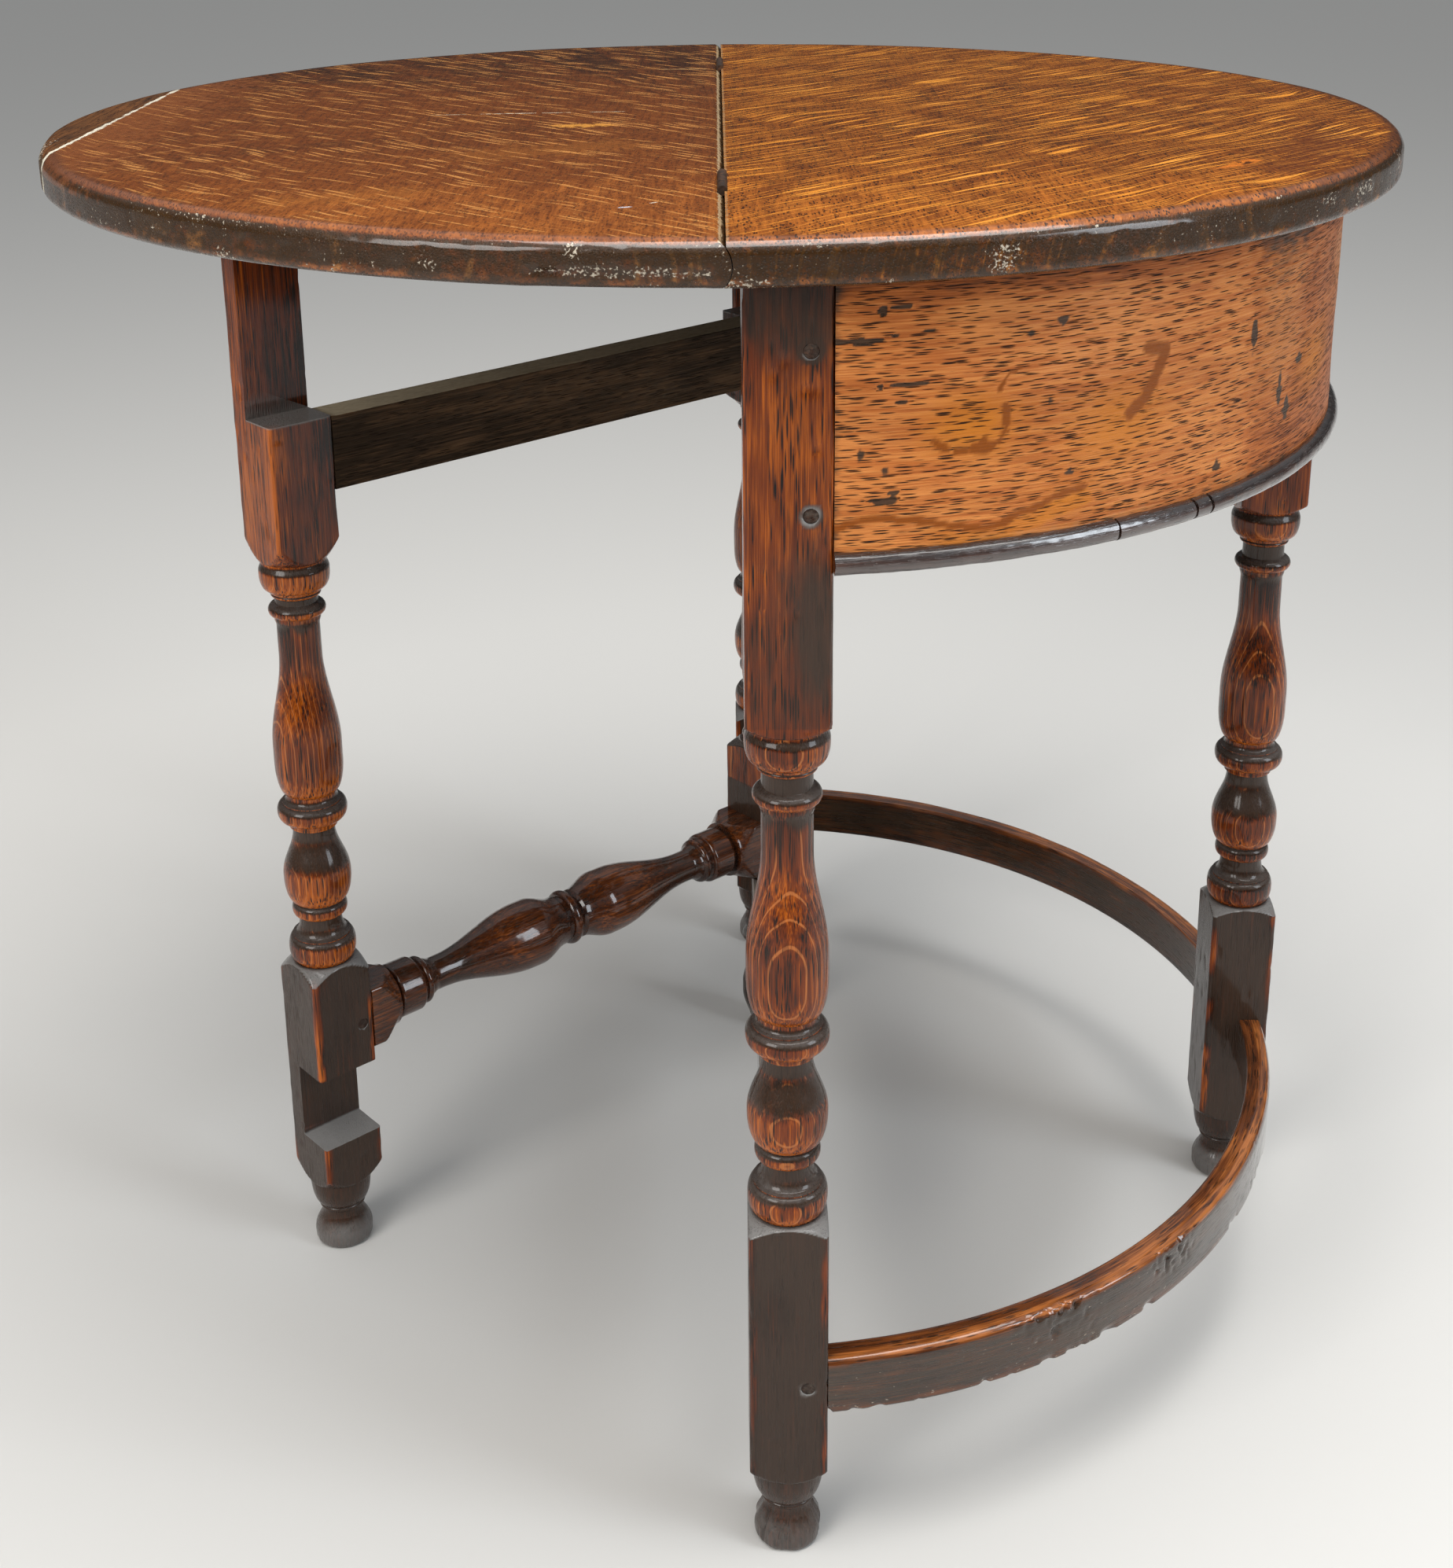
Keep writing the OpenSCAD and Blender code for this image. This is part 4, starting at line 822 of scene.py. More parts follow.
        shade = add("Mix", {0: painted["amber"], 6: shade, 7: colour(amber)}, **RGBA)
    if ray is not None:
        clear = add("Math", {0: 1.0, 1: ray}, operation="SUBTRACT", use_clamp=True)
        dash = add("Math", {0: dash, 1: clear}, operation="MULTIPLY")
    dark_dash = add("Math", {0: dash, 1: pores}, operation="MULTIPLY", use_clamp=True)
    shade = add("Mix", {0: dark_dash, 6: shade, 7: colour(pore)}, **RGBA)

    # Grime sits in patches, dust on what faces up, both ragged along the fibres. Grime also carries painted shade,
    # and on the legs grime and dust also carry a painted sheen.
    ragged = lumps((3.5, 3.5, 10), detail=4.0)
    coated = add("Math", {0: ragged, 1: edge, 2: painted["grime"]}, operation="MULTIPLY_ADD")
    coated = add("MapRange", {0: coated, 1: 0.15 + 0.5 * edge, 2: 0.70 + 0.5 * edge, 3: 0.0, 4: 0.94}, **SMOOTH)
    thin_grime = tuple(thick * c for c in colour(grime)[:3]) + (1,)
    grimy = add("Mix", {0: fine, 6: colour(grime), 7: thin_grime}, **RGBA)
    shade = add("Mix", {0: coated, 6: shade, 7: grimy}, **RGBA)
    specks = lumps((2.6, 2.6, 4), detail=4.0, at=(3, 1, 2))
    dusty = add("Math", {0: specks, 1: 0.6 * edge, 2: painted["dust"]}, operation="MULTIPLY_ADD")
    dusty = add("MapRange", {0: dusty, 1: 0.15 + 0.3 * edge, 2: 0.95 + 0.3 * edge, 3: 0.0, 4: 0.85}, **SMOOTH)
    shade = add("Mix", {0: dusty, 6: shade, 7: colour(dust)}, **RGBA)
    if scuffs:
        spots = lumps((1.4, 1.4, 3.0), detail=3.0, at=(7, 7, 7))
        spots = add("Math", {0: painted["scuff"], 1: 0.30, 2: spots}, operation="MULTIPLY_ADD")
        spots = add("MapRange", {0: spots, 1: 0.82, 2: 0.94, 3: 0.0, 4: scuffs}, **SMOOTH)
        shade = add("Mix", {0: spots, 6: shade, 7: colour("#b9ae9c")}, **RGBA)
    for size, detail, at, lowest, drawn_marks in marks:
        frayed = lumps(size, detail=detail, at=at)
        for start, end, width, code, strength in drawn_marks:
            on = stroke(tree, grain, start, end, width, frayed, lowest)
            on = add("Math", {0: on, 1: strength}, operation="MULTIPLY")
            shade = add("Mix", {0: on, 6: shade, 7: colour(code)}, **RGBA)
    tree.links.new(shade, shader.inputs["Base Color"])

    # Handled wood shines, dust and open pores do not. A coat of wax lies over it all.
    dull = add("MapRange", {0: tone, 1: middling, 2: middling + 0.9, 3: gloss[1], 4: gloss[0]})
    dull = add("Math", {0: dusty, 1: 0.14, 2: dull}, operation="MULTIPLY_ADD")
    dull = add("Math", {0: dash, 1: 0.25, 2: dull}, operation="MULTIPLY_ADD", use_clamp=True)
    tree.links.new(dull, shader.inputs["Roughness"])
    shader.inputs["Specular IOR Level"].default_value = sheen
    shader.inputs["Coat Weight"].default_value = wax
    if rim_wax:
        coat = add("Math", {0: painted["amber"], 1: rim_wax, 2: wax}, operation="MULTIPLY_ADD")
        tree.links.new(coat, shader.inputs["Coat Weight"])
    shader.inputs["Coat Roughness"].default_value = 0.8 * gloss[0]
    height = add("Math", {0: dash, 1: -0.9, 2: fine}, operation="MULTIPLY_ADD")
    height = add("Math", {0: specks, 1: 0.35, 2: height}, operation="MULTIPLY_ADD")
    bumped = add("Bump", {"Strength": 0.8, "Distance": 0.0005 * relief, "Height": height}, out="Normal")
    tree.links.new(bumped, shader.inputs["Normal"])
    return made


# What the boards of the top share
TOP_OAK = dict(pith=(-900, 30), dust="#b3a68e", scuffs=0.9)
WAXED_TOP = dict(TOP_OAK, gloss=(0.16, 0.32), thick=1.4, rim_wax=0.92)
# Quarter-sawn leaf, scraped and waxed for centuries: long bright ray flecks over a fine grid of dark pores.
LEAF_OAK = oak("quartered_oak_scraped_and_waxed", worn="#a65e20", middle="#6c380f", dark="#2c1406", ring=4.5,
               rings=0.3, pores=1.0, pore_size=(1.3, 1.3, 7.0), crowded=(0.32, 0.52), pore="#2a1307", grime="#291b0c",
               flecks=(("#bb7429", (1.0, 60, 46), 45, 0.57, 0.62, 0.75),
                       ("#cf842c", (1.8, 60, 84), 47, 0.63, 0.66, 0.95),
                       ("#d68e36", (4.4, 60, 84), 49, 0.69, 0.71, 0.95)),
               fibre=(1.2, 1.2, 22.0), spread=(0.62, 0.62), marks=(LEAF_MARKS,), **WAXED_TOP)
# The flap is from a plainer board: shorter, paler flecks.
FLAP_OAK = oak("plainer_oak_scraped_and_waxed", worn="#9c5924", middle="#673513", dark="#2c1507", ring=4.0,
               rings=0.25, pores=0.6, pore_size=(1.2, 1.2, 6.0), crowded=(0.20, 0.60), pore="#2a1409",
               grime="#2b1d0e",
               flecks=(("#a66c34", (1.1, 60, 22), -46, 0.60, 0.68, 0.35),),
               strokes=("#bd8245", (2.4, 60, 38), -46, 0.57, 0.8), fibre=(0.9, 0.9, 14.0), spread=(0.3, 0.45),
               marks=(FLAP_MARKS, GLUE_LINE), **WAXED_TOP)
# The outer strip is greyer and rougher.
STRIP_OAK = oak("rough_oak_strip_waxed", worn="#84532c", middle="#5a3719", dark="#2a1a0e", ring=3.0, rings=0.5,
                pores=0.9, pore_size=(1.3, 1.3, 7), grime="#3c2f20", relief=1.5, thick=1.6, marks=(GLUE_LINE,),
                **TOP_OAK)
# Turned oak, skimmed with a chisel: ring figure opens into pale ovals on the bulbs, pores run down it.
LEG_OAK = oak("lathe_turned_oak_waxed", worn="#a9550f", middle="#682b08", dark="#1f0e05", pith=(6, 71.3), ring=2.7,
              rings=0.35, pale=0.6, pores=1.0, pore_size=(1.2, 1.2, 20), pore="#120803", grime="#2c2018",
              dust="#858482", gloss=(0.13, 0.27), wax=0.42, edge=0.28, spread=(0.6, 1.2), fibre=(0.6, 0.6, 30.0),
              thick=1.9, wander=4)
# Flat-sawn frieze, planed across its curve: strong horizontal pores that take up dirt.
FRIEZE_OAK = oak("flat_sawn_oak_planed_and_waxed", worn="#d08446", middle="#b0622d", dark="#5a2810", pith=(-200, 640),
                 ring=5.0, rings=0.2, pores=1.0, pore_size=(0.88, 0.88, 12), crowded=(0.20, 0.44), pore="#26130a",
                 grime="#2c241d", dust="#9a8c70", gloss=(0.3, 0.5), amber="#7f3f0a", glow="#be701f", relief=1.6,
                 fibre=(0.8, 0.8, 26.0), spread=(0.4, 1.15))
# The moulding has a thick black polish that shows the sky.
BEAD_OAK = oak("black_polished_oak_bead", worn="#6a4a36", middle="#43302a", dark="#231a17", pith=(3, 40), ring=3.0,
               rings=0.3, pores=0.4, grime="#201a19", dust="#8d8c90", gloss=(0.12, 0.26), scuffs=0.5, wax=1.0,
               sheen=0.7)
# Stretchers that feet rest on: black faces, the upper outer arris rubbed to bare pink wood.
STRETCHER_OAK = oak("sawn_oak_worn_by_feet", worn="#a3612f", middle="#5c3014", dark="#24150b", pith=(40, 260),
                    ring=3.4, rings=0.4, pores=0.8, pore_size=(1.2, 1.2, 12), pore="#150d07", grime="#2a1f15",
                    dust="#8d857c", gloss=(0.10, 0.26), scuffs=0.6, wax=1.0, edge=0.55)
# The gate's turned stretcher, the best polished piece.
TURNED_OAK = oak("lathe_turned_oak_polished", worn="#84451a", middle="#48230e", dark="#221108", pith=(10, 50),
                 ring=3.0, rings=0.4, pale=0.3, pores=0.8, pore_size=(1.0, 1.0, 10), pore="#140a05", grime="#1e150e",
                 dust="#8b857e", gloss=(0.12, 0.28), wax=0.8)
# Rails left from the saw, never polished.
RAIL_OAK = oak("sawn_oak_unpolished", worn="#7d5c3a", middle="#57402a", dark="#2c2014", pith=(20, 60), ring=3.0,
               rings=0.3, pores=0.7, pore_size=(1.1, 1.1, 12), pore="#1c140d", grime="#2c231a", dust="#b3a78e",
               gloss=(0.5, 0.72), relief=1.4, wax=0.0)
# Riven pegs, cut off flush, dark at the end grain.
PEG_OAK = oak("riven_oak_peg", worn="#5b3620", middle="#38231a", dark="#1e130f", pith=(1, 5), ring=1.6, rings=0.6,
              pores=0.6, pore_size=(0.9, 0.9, 6), grime="#1f1712", dust="#8a8378", gloss=(0.34, 0.5))


def surface(tree, shader, pattern, shade, rough, strength, depth):
    """Joins a plain material up: its colour, and one pattern that also gives its roughness and its bump."""
    dull = node(tree, "MapRange", {0: pattern, 1: 0.3, 2: 0.7, 3: rough[0], 4: rough[1]})
    bumped = node(tree, "Bump", {"Strength": strength, "Distance": depth, "Height": pattern}, out="Normal")
    for output, name in ((shade, "Base Color"), (dull, "Roughness"), (bumped, "Normal")):
        tree.links.new(output, shader.inputs[name])


def wrought_iron():
    """Hand-forged iron, oiled and dark, brown with rust in its hollows."""
    made, tree, shader = new_material("forged_iron_oiled")
    here = node(tree, "TexCoord", out="Object")
    scale = node(tree, "TexNoise", {"Vector": here, "Scale": 420.0, "Detail": 4.0})
    rust = node(tree, "MapRange", {0: scale, 1: 0.48, 2: 0.66}, **SMOOTH)
    shade = node(tree, "Mix", {0: rust, 6: colour("#35261c"), 7: colour("#51331f")}, **RGBA)
    shader.inputs["Metallic"].default_value = 0.5
    surface(tree, shader, scale, shade, (0.38, 0.7), 0.6, 0.0003)
    return made


def block_oak():
    """Glue blocks: brown sawn oak offcuts, seen only from below."""
    made, tree, shader = new_material("sawn_oak_offcut")
    streaks = drawn_out(tree, node(tree, "TexCoord", out="Object"), (0.002, 0.03, 0.002), detail=3.0)
    shade = node(tree, "Mix", {0: streaks, 6: colour("#33261b"), 7: colour("#7d5d3f")}, **RGBA)
    surface(tree, shader, streaks, shade, (0.75, 0.55), 0.7, 0.0005)
    return made


IRON = wrought_iron()
for name in ("front_hinge_table_plate", "front_hinge_flap_plate", "front_hinge_pin", "rear_hinge_table_plate",
             "rear_hinge_flap_plate", "rear_hinge_pin", "table_hinge_screws", "flap_hinge_screws"):
    bpy.data.objects[name].data.materials[0] = IRON
bpy.data.objects["glue_blocks"].data.materials[0] = block_oak()


# ---------------------------------------------------------------- pegs
def peg_tree():
    """Geometry Nodes tree: one riven peg, a little uneven, set at each point it is given and turned its own way."""
    tree = bpy.data.node_groups.new("riven_pegs", "GeometryNodeTree")
    add = functools.partial(node, tree)
    sockets = {}
    for label, kind in (("Geometry", "Geometry"), ("Peg radius", "Float"), ("Peg length", "Float"),
                        ("Unevenness", "Float"), ("Inward", "Vector"), ("Seed", "Int"), ("Material", "Material")):
        made = tree.interface.new_socket(label, in_out="INPUT", socket_type="NodeSocket" + kind)
        sockets[label] = made.identifier
    tree.interface.new_socket("Geometry", in_out="OUTPUT", socket_type="NodeSocketGeometry")
    given = tree.nodes.new("NodeGroupInput").outputs

    peg = add("GeometryNodeMeshCylinder", {"Vertices": 28, "Side Segments": 8, "Fill Segments": 4,
                                           "Radius": given["Peg radius"], "Depth": given["Peg length"]}, out="Mesh")
    half = add("Math", {0: given["Peg length"], 1: 0.5}, operation="MULTIPLY")
    peg = add("GeometryNodeTransform", {"Geometry": peg, "Translation": add("CombineXYZ", {"Z": half})})
    turn = add("FunctionNodeRandomValue", {2: 0.0, 3: 6.28, "Seed": given["Seed"]}, out=1, data_type="FLOAT")
    facing = add("FunctionNodeAlignRotationToVector", {"Vector": given["Inward"]}, axis="Z")
    spin = add("FunctionNodeAxisAngleToRotation", {"Axis": (0, 0, 1), "Angle": turn})
    aimed = add("FunctionNodeRotateRotation", {0: facing, 1: spin}, rotation_space="LOCAL")
    driven = add("GeometryNodeInstanceOnPoints", {"Points": given["Geometry"], "Instance": peg, "Rotation": aimed})
    driven = add("GeometryNodeRealizeInstances", {"Geometry": driven})
    lumps = add("TexNoise", {"Scale": 260.0, "Detail": 1.0}, out="Color")
    shift = add("VectorMath", {0: lumps, 1: (-0.5, -0.5, -0.5)}, operation="ADD")
    shift = add("VectorMath", {0: shift, "Scale": given["Unevenness"]}, operation="SCALE")
    driven = add("GeometryNodeSetPosition", {"Geometry": driven, "Offset": shift})
    driven = add("GeometryNodeSetMaterial", {"Geometry": driven, "Material": given["Material"]})
    tree.links.new(driven, tree.nodes.new("NodeGroupOutput").inputs["Geometry"])
    return tree, sockets


PEG_TREE, PEG_SOCKETS = peg_tree()


def pegs(name, spots, inward, seed):
    """Pegs at the given outer ends in mm, driven in the direction inward."""
    mesh = bpy.data.meshes.new(name)
    mesh.from_pydata((np.array(spots, float) * MM).tolist(), [], [])
    made = added(name, mesh)
    nodes = made.modifiers.new("pegs", "NODES")
    nodes.node_group = PEG_TREE
    for label, value in (("Peg radius", PEG_R * MM), ("Peg length", (PEG_LEN - 0.6) * MM), ("Unevenness", 0.45 * MM),
                         ("Inward", inward), ("Seed", seed), ("Material", PEG_OAK)):
        nodes[PEG_SOCKETS[label]] = value
    made.data = evaluated(made)
    made.modifiers.clear()
    bpy.data.meshes.remove(mesh)
    made.data.name = name
    return made


def joined(name, *pieces):
    """One piece from several that ride together."""
    verts, faces, count = [], [], 0
    for piece in pieces:
        verts.append(points_of(piece))
        faces += [tuple(v + count for v in face.vertices) for face in piece.data.polygons]
        count += len(piece.data.vertices)
        bpy.data.objects.remove(piece)
    return solid(name, np.concatenate(verts), faces)


# ---------------------------------------------------------------- wear and dirt, and painted light and shade, on the pieces
def near_line(u, v, line, half, ragged=0.0):
    """1 within half mm of a broken line of (u, v) points, falling to 0 just outside it."""
    best = np.full(np.shape(u), 1e9)
    for a, b in zip(line[:-1], line[1:]):
        d = np.subtract(b, a)
        t = np.clip(((u - a[0]) * d[0] + (v - a[1]) * d[1]) / (d @ d), 0, 1)
        best = np.minimum(best, np.hypot(u - a[0] - t * d[0], v - a[1] - t * d[1]))
    return 1 - step(half * 0.75, half * 1.25, best + ragged)


def paint_leg(points, normals, seed, low=0.05, high=0.45, fair=None, foot_dust=0.4, high_low=HIGH_LOW,
              turned_worn=0.0):
    """Worn, grime and dust for a leg whose axis is x = y = 0: orange where it bulges and faces down, grey on top, the
    grey on top partly a painted sheen. low and high are how worn the two squares are, fair the way of the upper
    square's face that is painted paler, as if lit, its opposite face painted darker, as if in shade."""
    x, y, z = points.T
    nx, ny, nz = normals.T
    r = np.hypot(x, y)
    patch, small = noise(points, (20, 20, 34), seed), noise(points, (6, 6, 12), seed + 1)
    streak = noise(points, (4, 4, 26), seed + 4)

    # The turning
    # Grey dust and grime on what faces up, and orange wood on what faces down: partly real dust, partly a painted
    # sheen on the polished tops.
    up = nz + 0.08 * patch + 0.04 * streak
    vase = step(318, 326, z) * (1 - step(424, 436, z + 5 * streak))
    bulb = step(246, 250, z) * (1 - step(292, 296, z))
    dust_and_sheen = np.maximum(step(0.06, 0.42, up) * (1 - 0.85 * vase), (1 - vase) * (1 - step(13.0, 14.2, r)))
    worn = 0.46 + turned_worn + 0.14 * bulb + 0.30 * step(0.0, 0.5, -up) + 0.24 * patch + 0.14 * small
    worn = worn - 0.52 * dust_and_sheen - 0.22 * vase * step(395, 420, z)
    dust = 0.04 + 0.30 * dust_and_sheen * step(0.1, 0.6, up) + 0.08 * patch
    grime = 0.02 + 0.80 * dust_and_sheen + 0.16 * patch

    # The squares, their arrises rubbed here and there
    block = in_blocks(z, (FOOT_H, LOW_TOP), (high_low, TOP_H))
    upper = z > 300
    wide = np.where(upper, 2.6, 3.4) + 1.2 * small
    side = step(0.18, 0.5, np.minimum(np.abs(nx), np.abs(ny)))
    near_edge = step(2 * HALF_W - wide - 1.2, 2 * HALF_W - wide + 0.8, np.abs(x) + np.abs(y))
    flat = np.where(upper, high, low) + np.where(upper, 0.28, 0.10) * patch + 0.12 * small
    # fair: one face of the upper square is painted paler, as if lit, and the face opposite darker, as if in shade
    if fair is not None:
        toward = nx * fair[0] + ny * fair[1]
        flat = flat + 0.34 * step(0.3, 0.8, toward) * upper - 0.10 * step(0.3, 0.8, -toward) * upper
    rubbed = np.maximum(side, near_edge) * (r > 24)
    rubbed = rubbed * np.clip(0.45 + 0.9 * noise(points, (30, 30, 18), seed + 2), 0, 1)
    turned_away = step(0.12, 0.4, np.abs(nz))
    block_grime = np.where(upper, 0.14, 0.62) * (1 - rubbed) + 0.2 * patch + 0.3 * turned_away * (nz > 0)
    worn = np.where(block, flat + (0.66 - flat) * rubbed * (1 - 0.7 * turned_away), worn)
    grime = np.where(block, block_grime, grime)
    dust = np.where(block, 0.05 + 0.66 * step(0.12, 0.4, nz) + 0.10 * patch, dust)

    # The foot
    foot = z < FOOT_H
    floor_dust = foot_dust * (1 - step(10, 22, z + 4 * patch))
    worn = np.where(foot, 0.16 + 0.2 * patch, worn)
    grime = np.where(foot, 0.55 + 0.2 * patch, grime)
    dust = np.where(foot, 0.15 + floor_dust + 0.3 * step(0.3, 0.7, nz), dust)
    return dict(worn=worn, grime=grime, dust=dust, scuff=1.0 * ~block * (z > FOOT_H))


def paint_front_leg(points, normals):
    """The front leg's upper square: red-brown in the middle, darker at its top with a painted shadow of the leaf, and
    with damp on the right of its lower half. Grey dust rings two of the pegs."""
    out = paint_leg(points, normals, 11, low=0.0, high=0.42, foot_dust=0.25)
    x, y, z = points.T
    patch = noise(points, (16, 16, 30), 91)
    # top: painted shadow of the leaf on the upper end of the square, made darker
    top = step(640, 672, z + 10 * patch)
    foot = step(570, 520, z + 14 * patch) * (z > HIGH_BLOCK_LOW + 4)
    smudge = step(-14, 14, x + 10 * patch) * step(475, 515, z) * step(592, 552, z + 14 * patch) * (y < 0)
    out["grime"] = out["grime"] + 0.40 * top + 0.12 * foot + 0.42 * smudge
    out["worn"] = out["worn"] + 0.16 * np.exp(-((z - 610) / 34) ** 2) - 0.10 * foot
    for height, pale in zip(PEG_HEIGHTS, (0.0, 1.0, 0.8)):
        ring = np.hypot(x - (PEG_X - FRAME_X), z - height)
        near = (1 - step(PEG_R + 0.3, PEG_R + 3.2, ring)) * (y < 0)
        out["grime"] = out["grime"] + 0.6 * near
        out["dust"] = out["dust"] + pale * near * np.clip(0.50 + 0.6 * noise(points, (3, 3, 3), 92), 0, 1)
    return out


def paint_gate_leg(points, normals):
    """Left face painted orange and paler, as if lit, the face opposite darker, as if in shade; the bare saw cut of
    the notches grey-brown, their floors thick with dust.
    """
    out = paint_leg(points, normals, 61, low=0.04, high=0.26, fair=(0, -1), high_low=GATE_HIGH_LOW, turned_worn=0.14)
    x, y, z = points.T
    sawn = (np.abs(x - (NOTCH_WEB - HALF_W)) < 0.05) & (normals[:, 0] > 0.8)
    small = noise(points, (5, 5, 26), 66)
    # top: the saw cut made darker and less worn just below the flap, a painted shade
    top = step(668, 676, z + 2 * small)
    for key, raw in (("worn", 0.16 + 0.16 * small - 0.1 * top), ("grime", 0.34 + 0.20 * small + 0.4 * top),
                     ("dust", 0.30 + 0.25 * small - 0.2 * top)):
        out[key] = np.where(sawn, raw, out[key])
    floor = (normals[:, 2] > 0.8) & ((np.abs(z - GATE_RAIL_TOP) < 0.1) | (np.abs(z - NOTCH_LOW) < 0.1))
    out["dust"] = np.where(floor, 0.66 + 0.25 * small, out["dust"])
    fine_arris = np.exp(-((x - HALF_W) ** 2 + (y + HALF_W) ** 2) / 10)
    ring = np.hypot(y - (GATE_PEG_Y[0] + GATE_LEN), z - TURNED_Z)
    out["worn"] = out["worn"] + 0.5 * fine_arris
    out["grime"] = out["grime"] - 0.6 * fine_arris + 0.5 * (1 - step(PEG_R + 0.2, PEG_R + 2.2, ring)) * (x > 0)
    return out


def paint_leaf(points, normals, seed, flap):
    """Rim black with old polish, its upper arris rubbed pale, the pale line partly a painted highlight; bare wood
    underneath. The flap also has a filled crack in its rim and a pale broken tip."""
    x, y, z = points.T
    r = np.hypot(x, y)
    turn = np.stack([LEAF_R * np.arctan2(y, x), z, 0 * z], 1)
    patch, small = noise(turn, (60, 14, 9), seed), noise(turn, (7, 5, 9), seed + 1)
    rim = step(LEAF_R - 6.8, LEAF_R - 3.6, r) * (1 - step(TOP_H - 3.2, TOP_H - 1.2, z))
    low_edge = rim * (1 - step(LEAF_LOW + 1.5, LEAF_LOW + 6, z + 1.5 * small))
    under = step(0.5, 0.9, -normals[:, 2])
    joint = step(-4.5, -1.0, -np.abs(x)) * (z < TOP_H - 1.5) * (r < LEAF_R - 3)
    # arris: a thin pale line of scuffs and dust along the top of the rim, partly rubbed wear, partly a painted
    # highlight
    arris = np.exp(-((z - TOP_H + 1.8) / 1.3) ** 2) * step(LEAF_R - 7.5, LEAF_R - 5.0, r)
    grime = rim * (0.66 + 0.22 * patch + 0.16 * small) + 0.5 * under + 0.9 * joint
    grime = grime - 0.42 * low_edge * step(-0.4, 0.5, patch)
    worn = 0.38 + 0.08 * small - 0.3 * rim - 0.25 * under + 0.4 * low_edge + 0.30 * step(-100, -340, y)
    scuff = 0.42 * rim * np.clip(1 + patch, 0, 2) + 0.25 * arris
    scuff = scuff + 0.80 * rim * step(0.35, 0.8, noise(turn, (16, 10, 9), seed + 2))
    dust = 0.02 * rim + 0.10 * arris * np.clip(0.8 + 0.5 * patch, 0, 1) + 0.2 * under
    plain = step(LEAF_R - 12, LEAF_R - 6, r + 2 * small) * (1 - 0.5 * step(2.5, 5.0, TOP_H - z))
    if flap:
        worn = worn - 0.22 * step(40, 260, y)
        off_line = np.abs(z - LEAF_LOW - 7 - 0.8 * small) + 1.2 * noise(turn, (12, 3, 9), seed + 3)
        filler = rim * step(-84, -76, x) * (1 - step(-8, -4, x)) * (y < 0) * (1 - step(1.0, 2.2, off_line))
        scuff = scuff + 2.2 * filler + 0.9 * step(-352, -362, x) * step(-60, -90, y)
    return dict(worn=worn, grime=grime, dust=dust, scuff=scuff, amber=plain)


FRIEZE_MM = math.radians(1) * FRIEZE_R
# Marks on the front of the frieze: angle round it from the bow in degrees, and height in mm. The hooked stain on the
# left is in short pieces, each with its half width. Right of it is a flame-shaped one, and low down a long wave.
STAIN_LINES = (
    (((-76.2, 618.3), (-75.6, 615.4), (-75.1, 613.9)), 1.9), (((-74.3, 612.9), (-73.7, 612.7)), 2.4),
    (((-72.8, 613.0), (-71.5, 613.4)), 2.7), (((-72.2, 616.2), (-72.1, 617.0)), 1.3),
    (((-70.8, 615.4), (-70.3, 620.3)), 1.3), (((-70.35, 624.0), (-70.3, 631.0)), 2.3),
    (((-70.9, 639.8), (-70.3, 645.4), (-69.2, 648.4)), 0.9))
FLAME_LINE = ((-57.2, 648.5), (-55.3, 647.3), (-55.9, 638.3), (-56.5, 631.5), (-57.4, 624.9), (-58.8, 619.0))
WAVE_LINE = ((-84.0, 579.0), (-82.2, 583.2), (-79.8, 584.2), (-77.3, 581.1), (-74.8, 577.8), (-72.8, 575.2),
             (-70.9, 574.8), (-69.3, 579.0), (-67.3, 581.8), (-65.7, 585.4), (-63.0, 588.0))
# Angle, height, half length and half height
DARK_SPOTS = ((-81.9, 614.4, 4, 2), (-80.0, 605.8, 7, 1.4), (-76.7, 669.6, 5, 0.9), (-65.6, 668.2, 6, 2),
              (-68.4, 663.4, 6, 1.4), (-48.0, 580.5, 5, 5), (-43.6, 643.2, 4, 9), (-38.4, 607.8, 4, 10),
              (-36.7, 596.3, 5, 8), (-64.5, 596.0, 3, 2), (-66.5, 632.0, 5, 1.5), (-34.4, 619.0, 5, 3))
# Golden patches: angle, height, half length and strength
GLOWS = ((-73.0, 624, 24, 0.9), (-59.5, 616, 32, 0.7), (-30.0, 615, 30, 0.8), (-19.0, 650, 34, 0.6),
         (-64, 588, 36, 0.25))


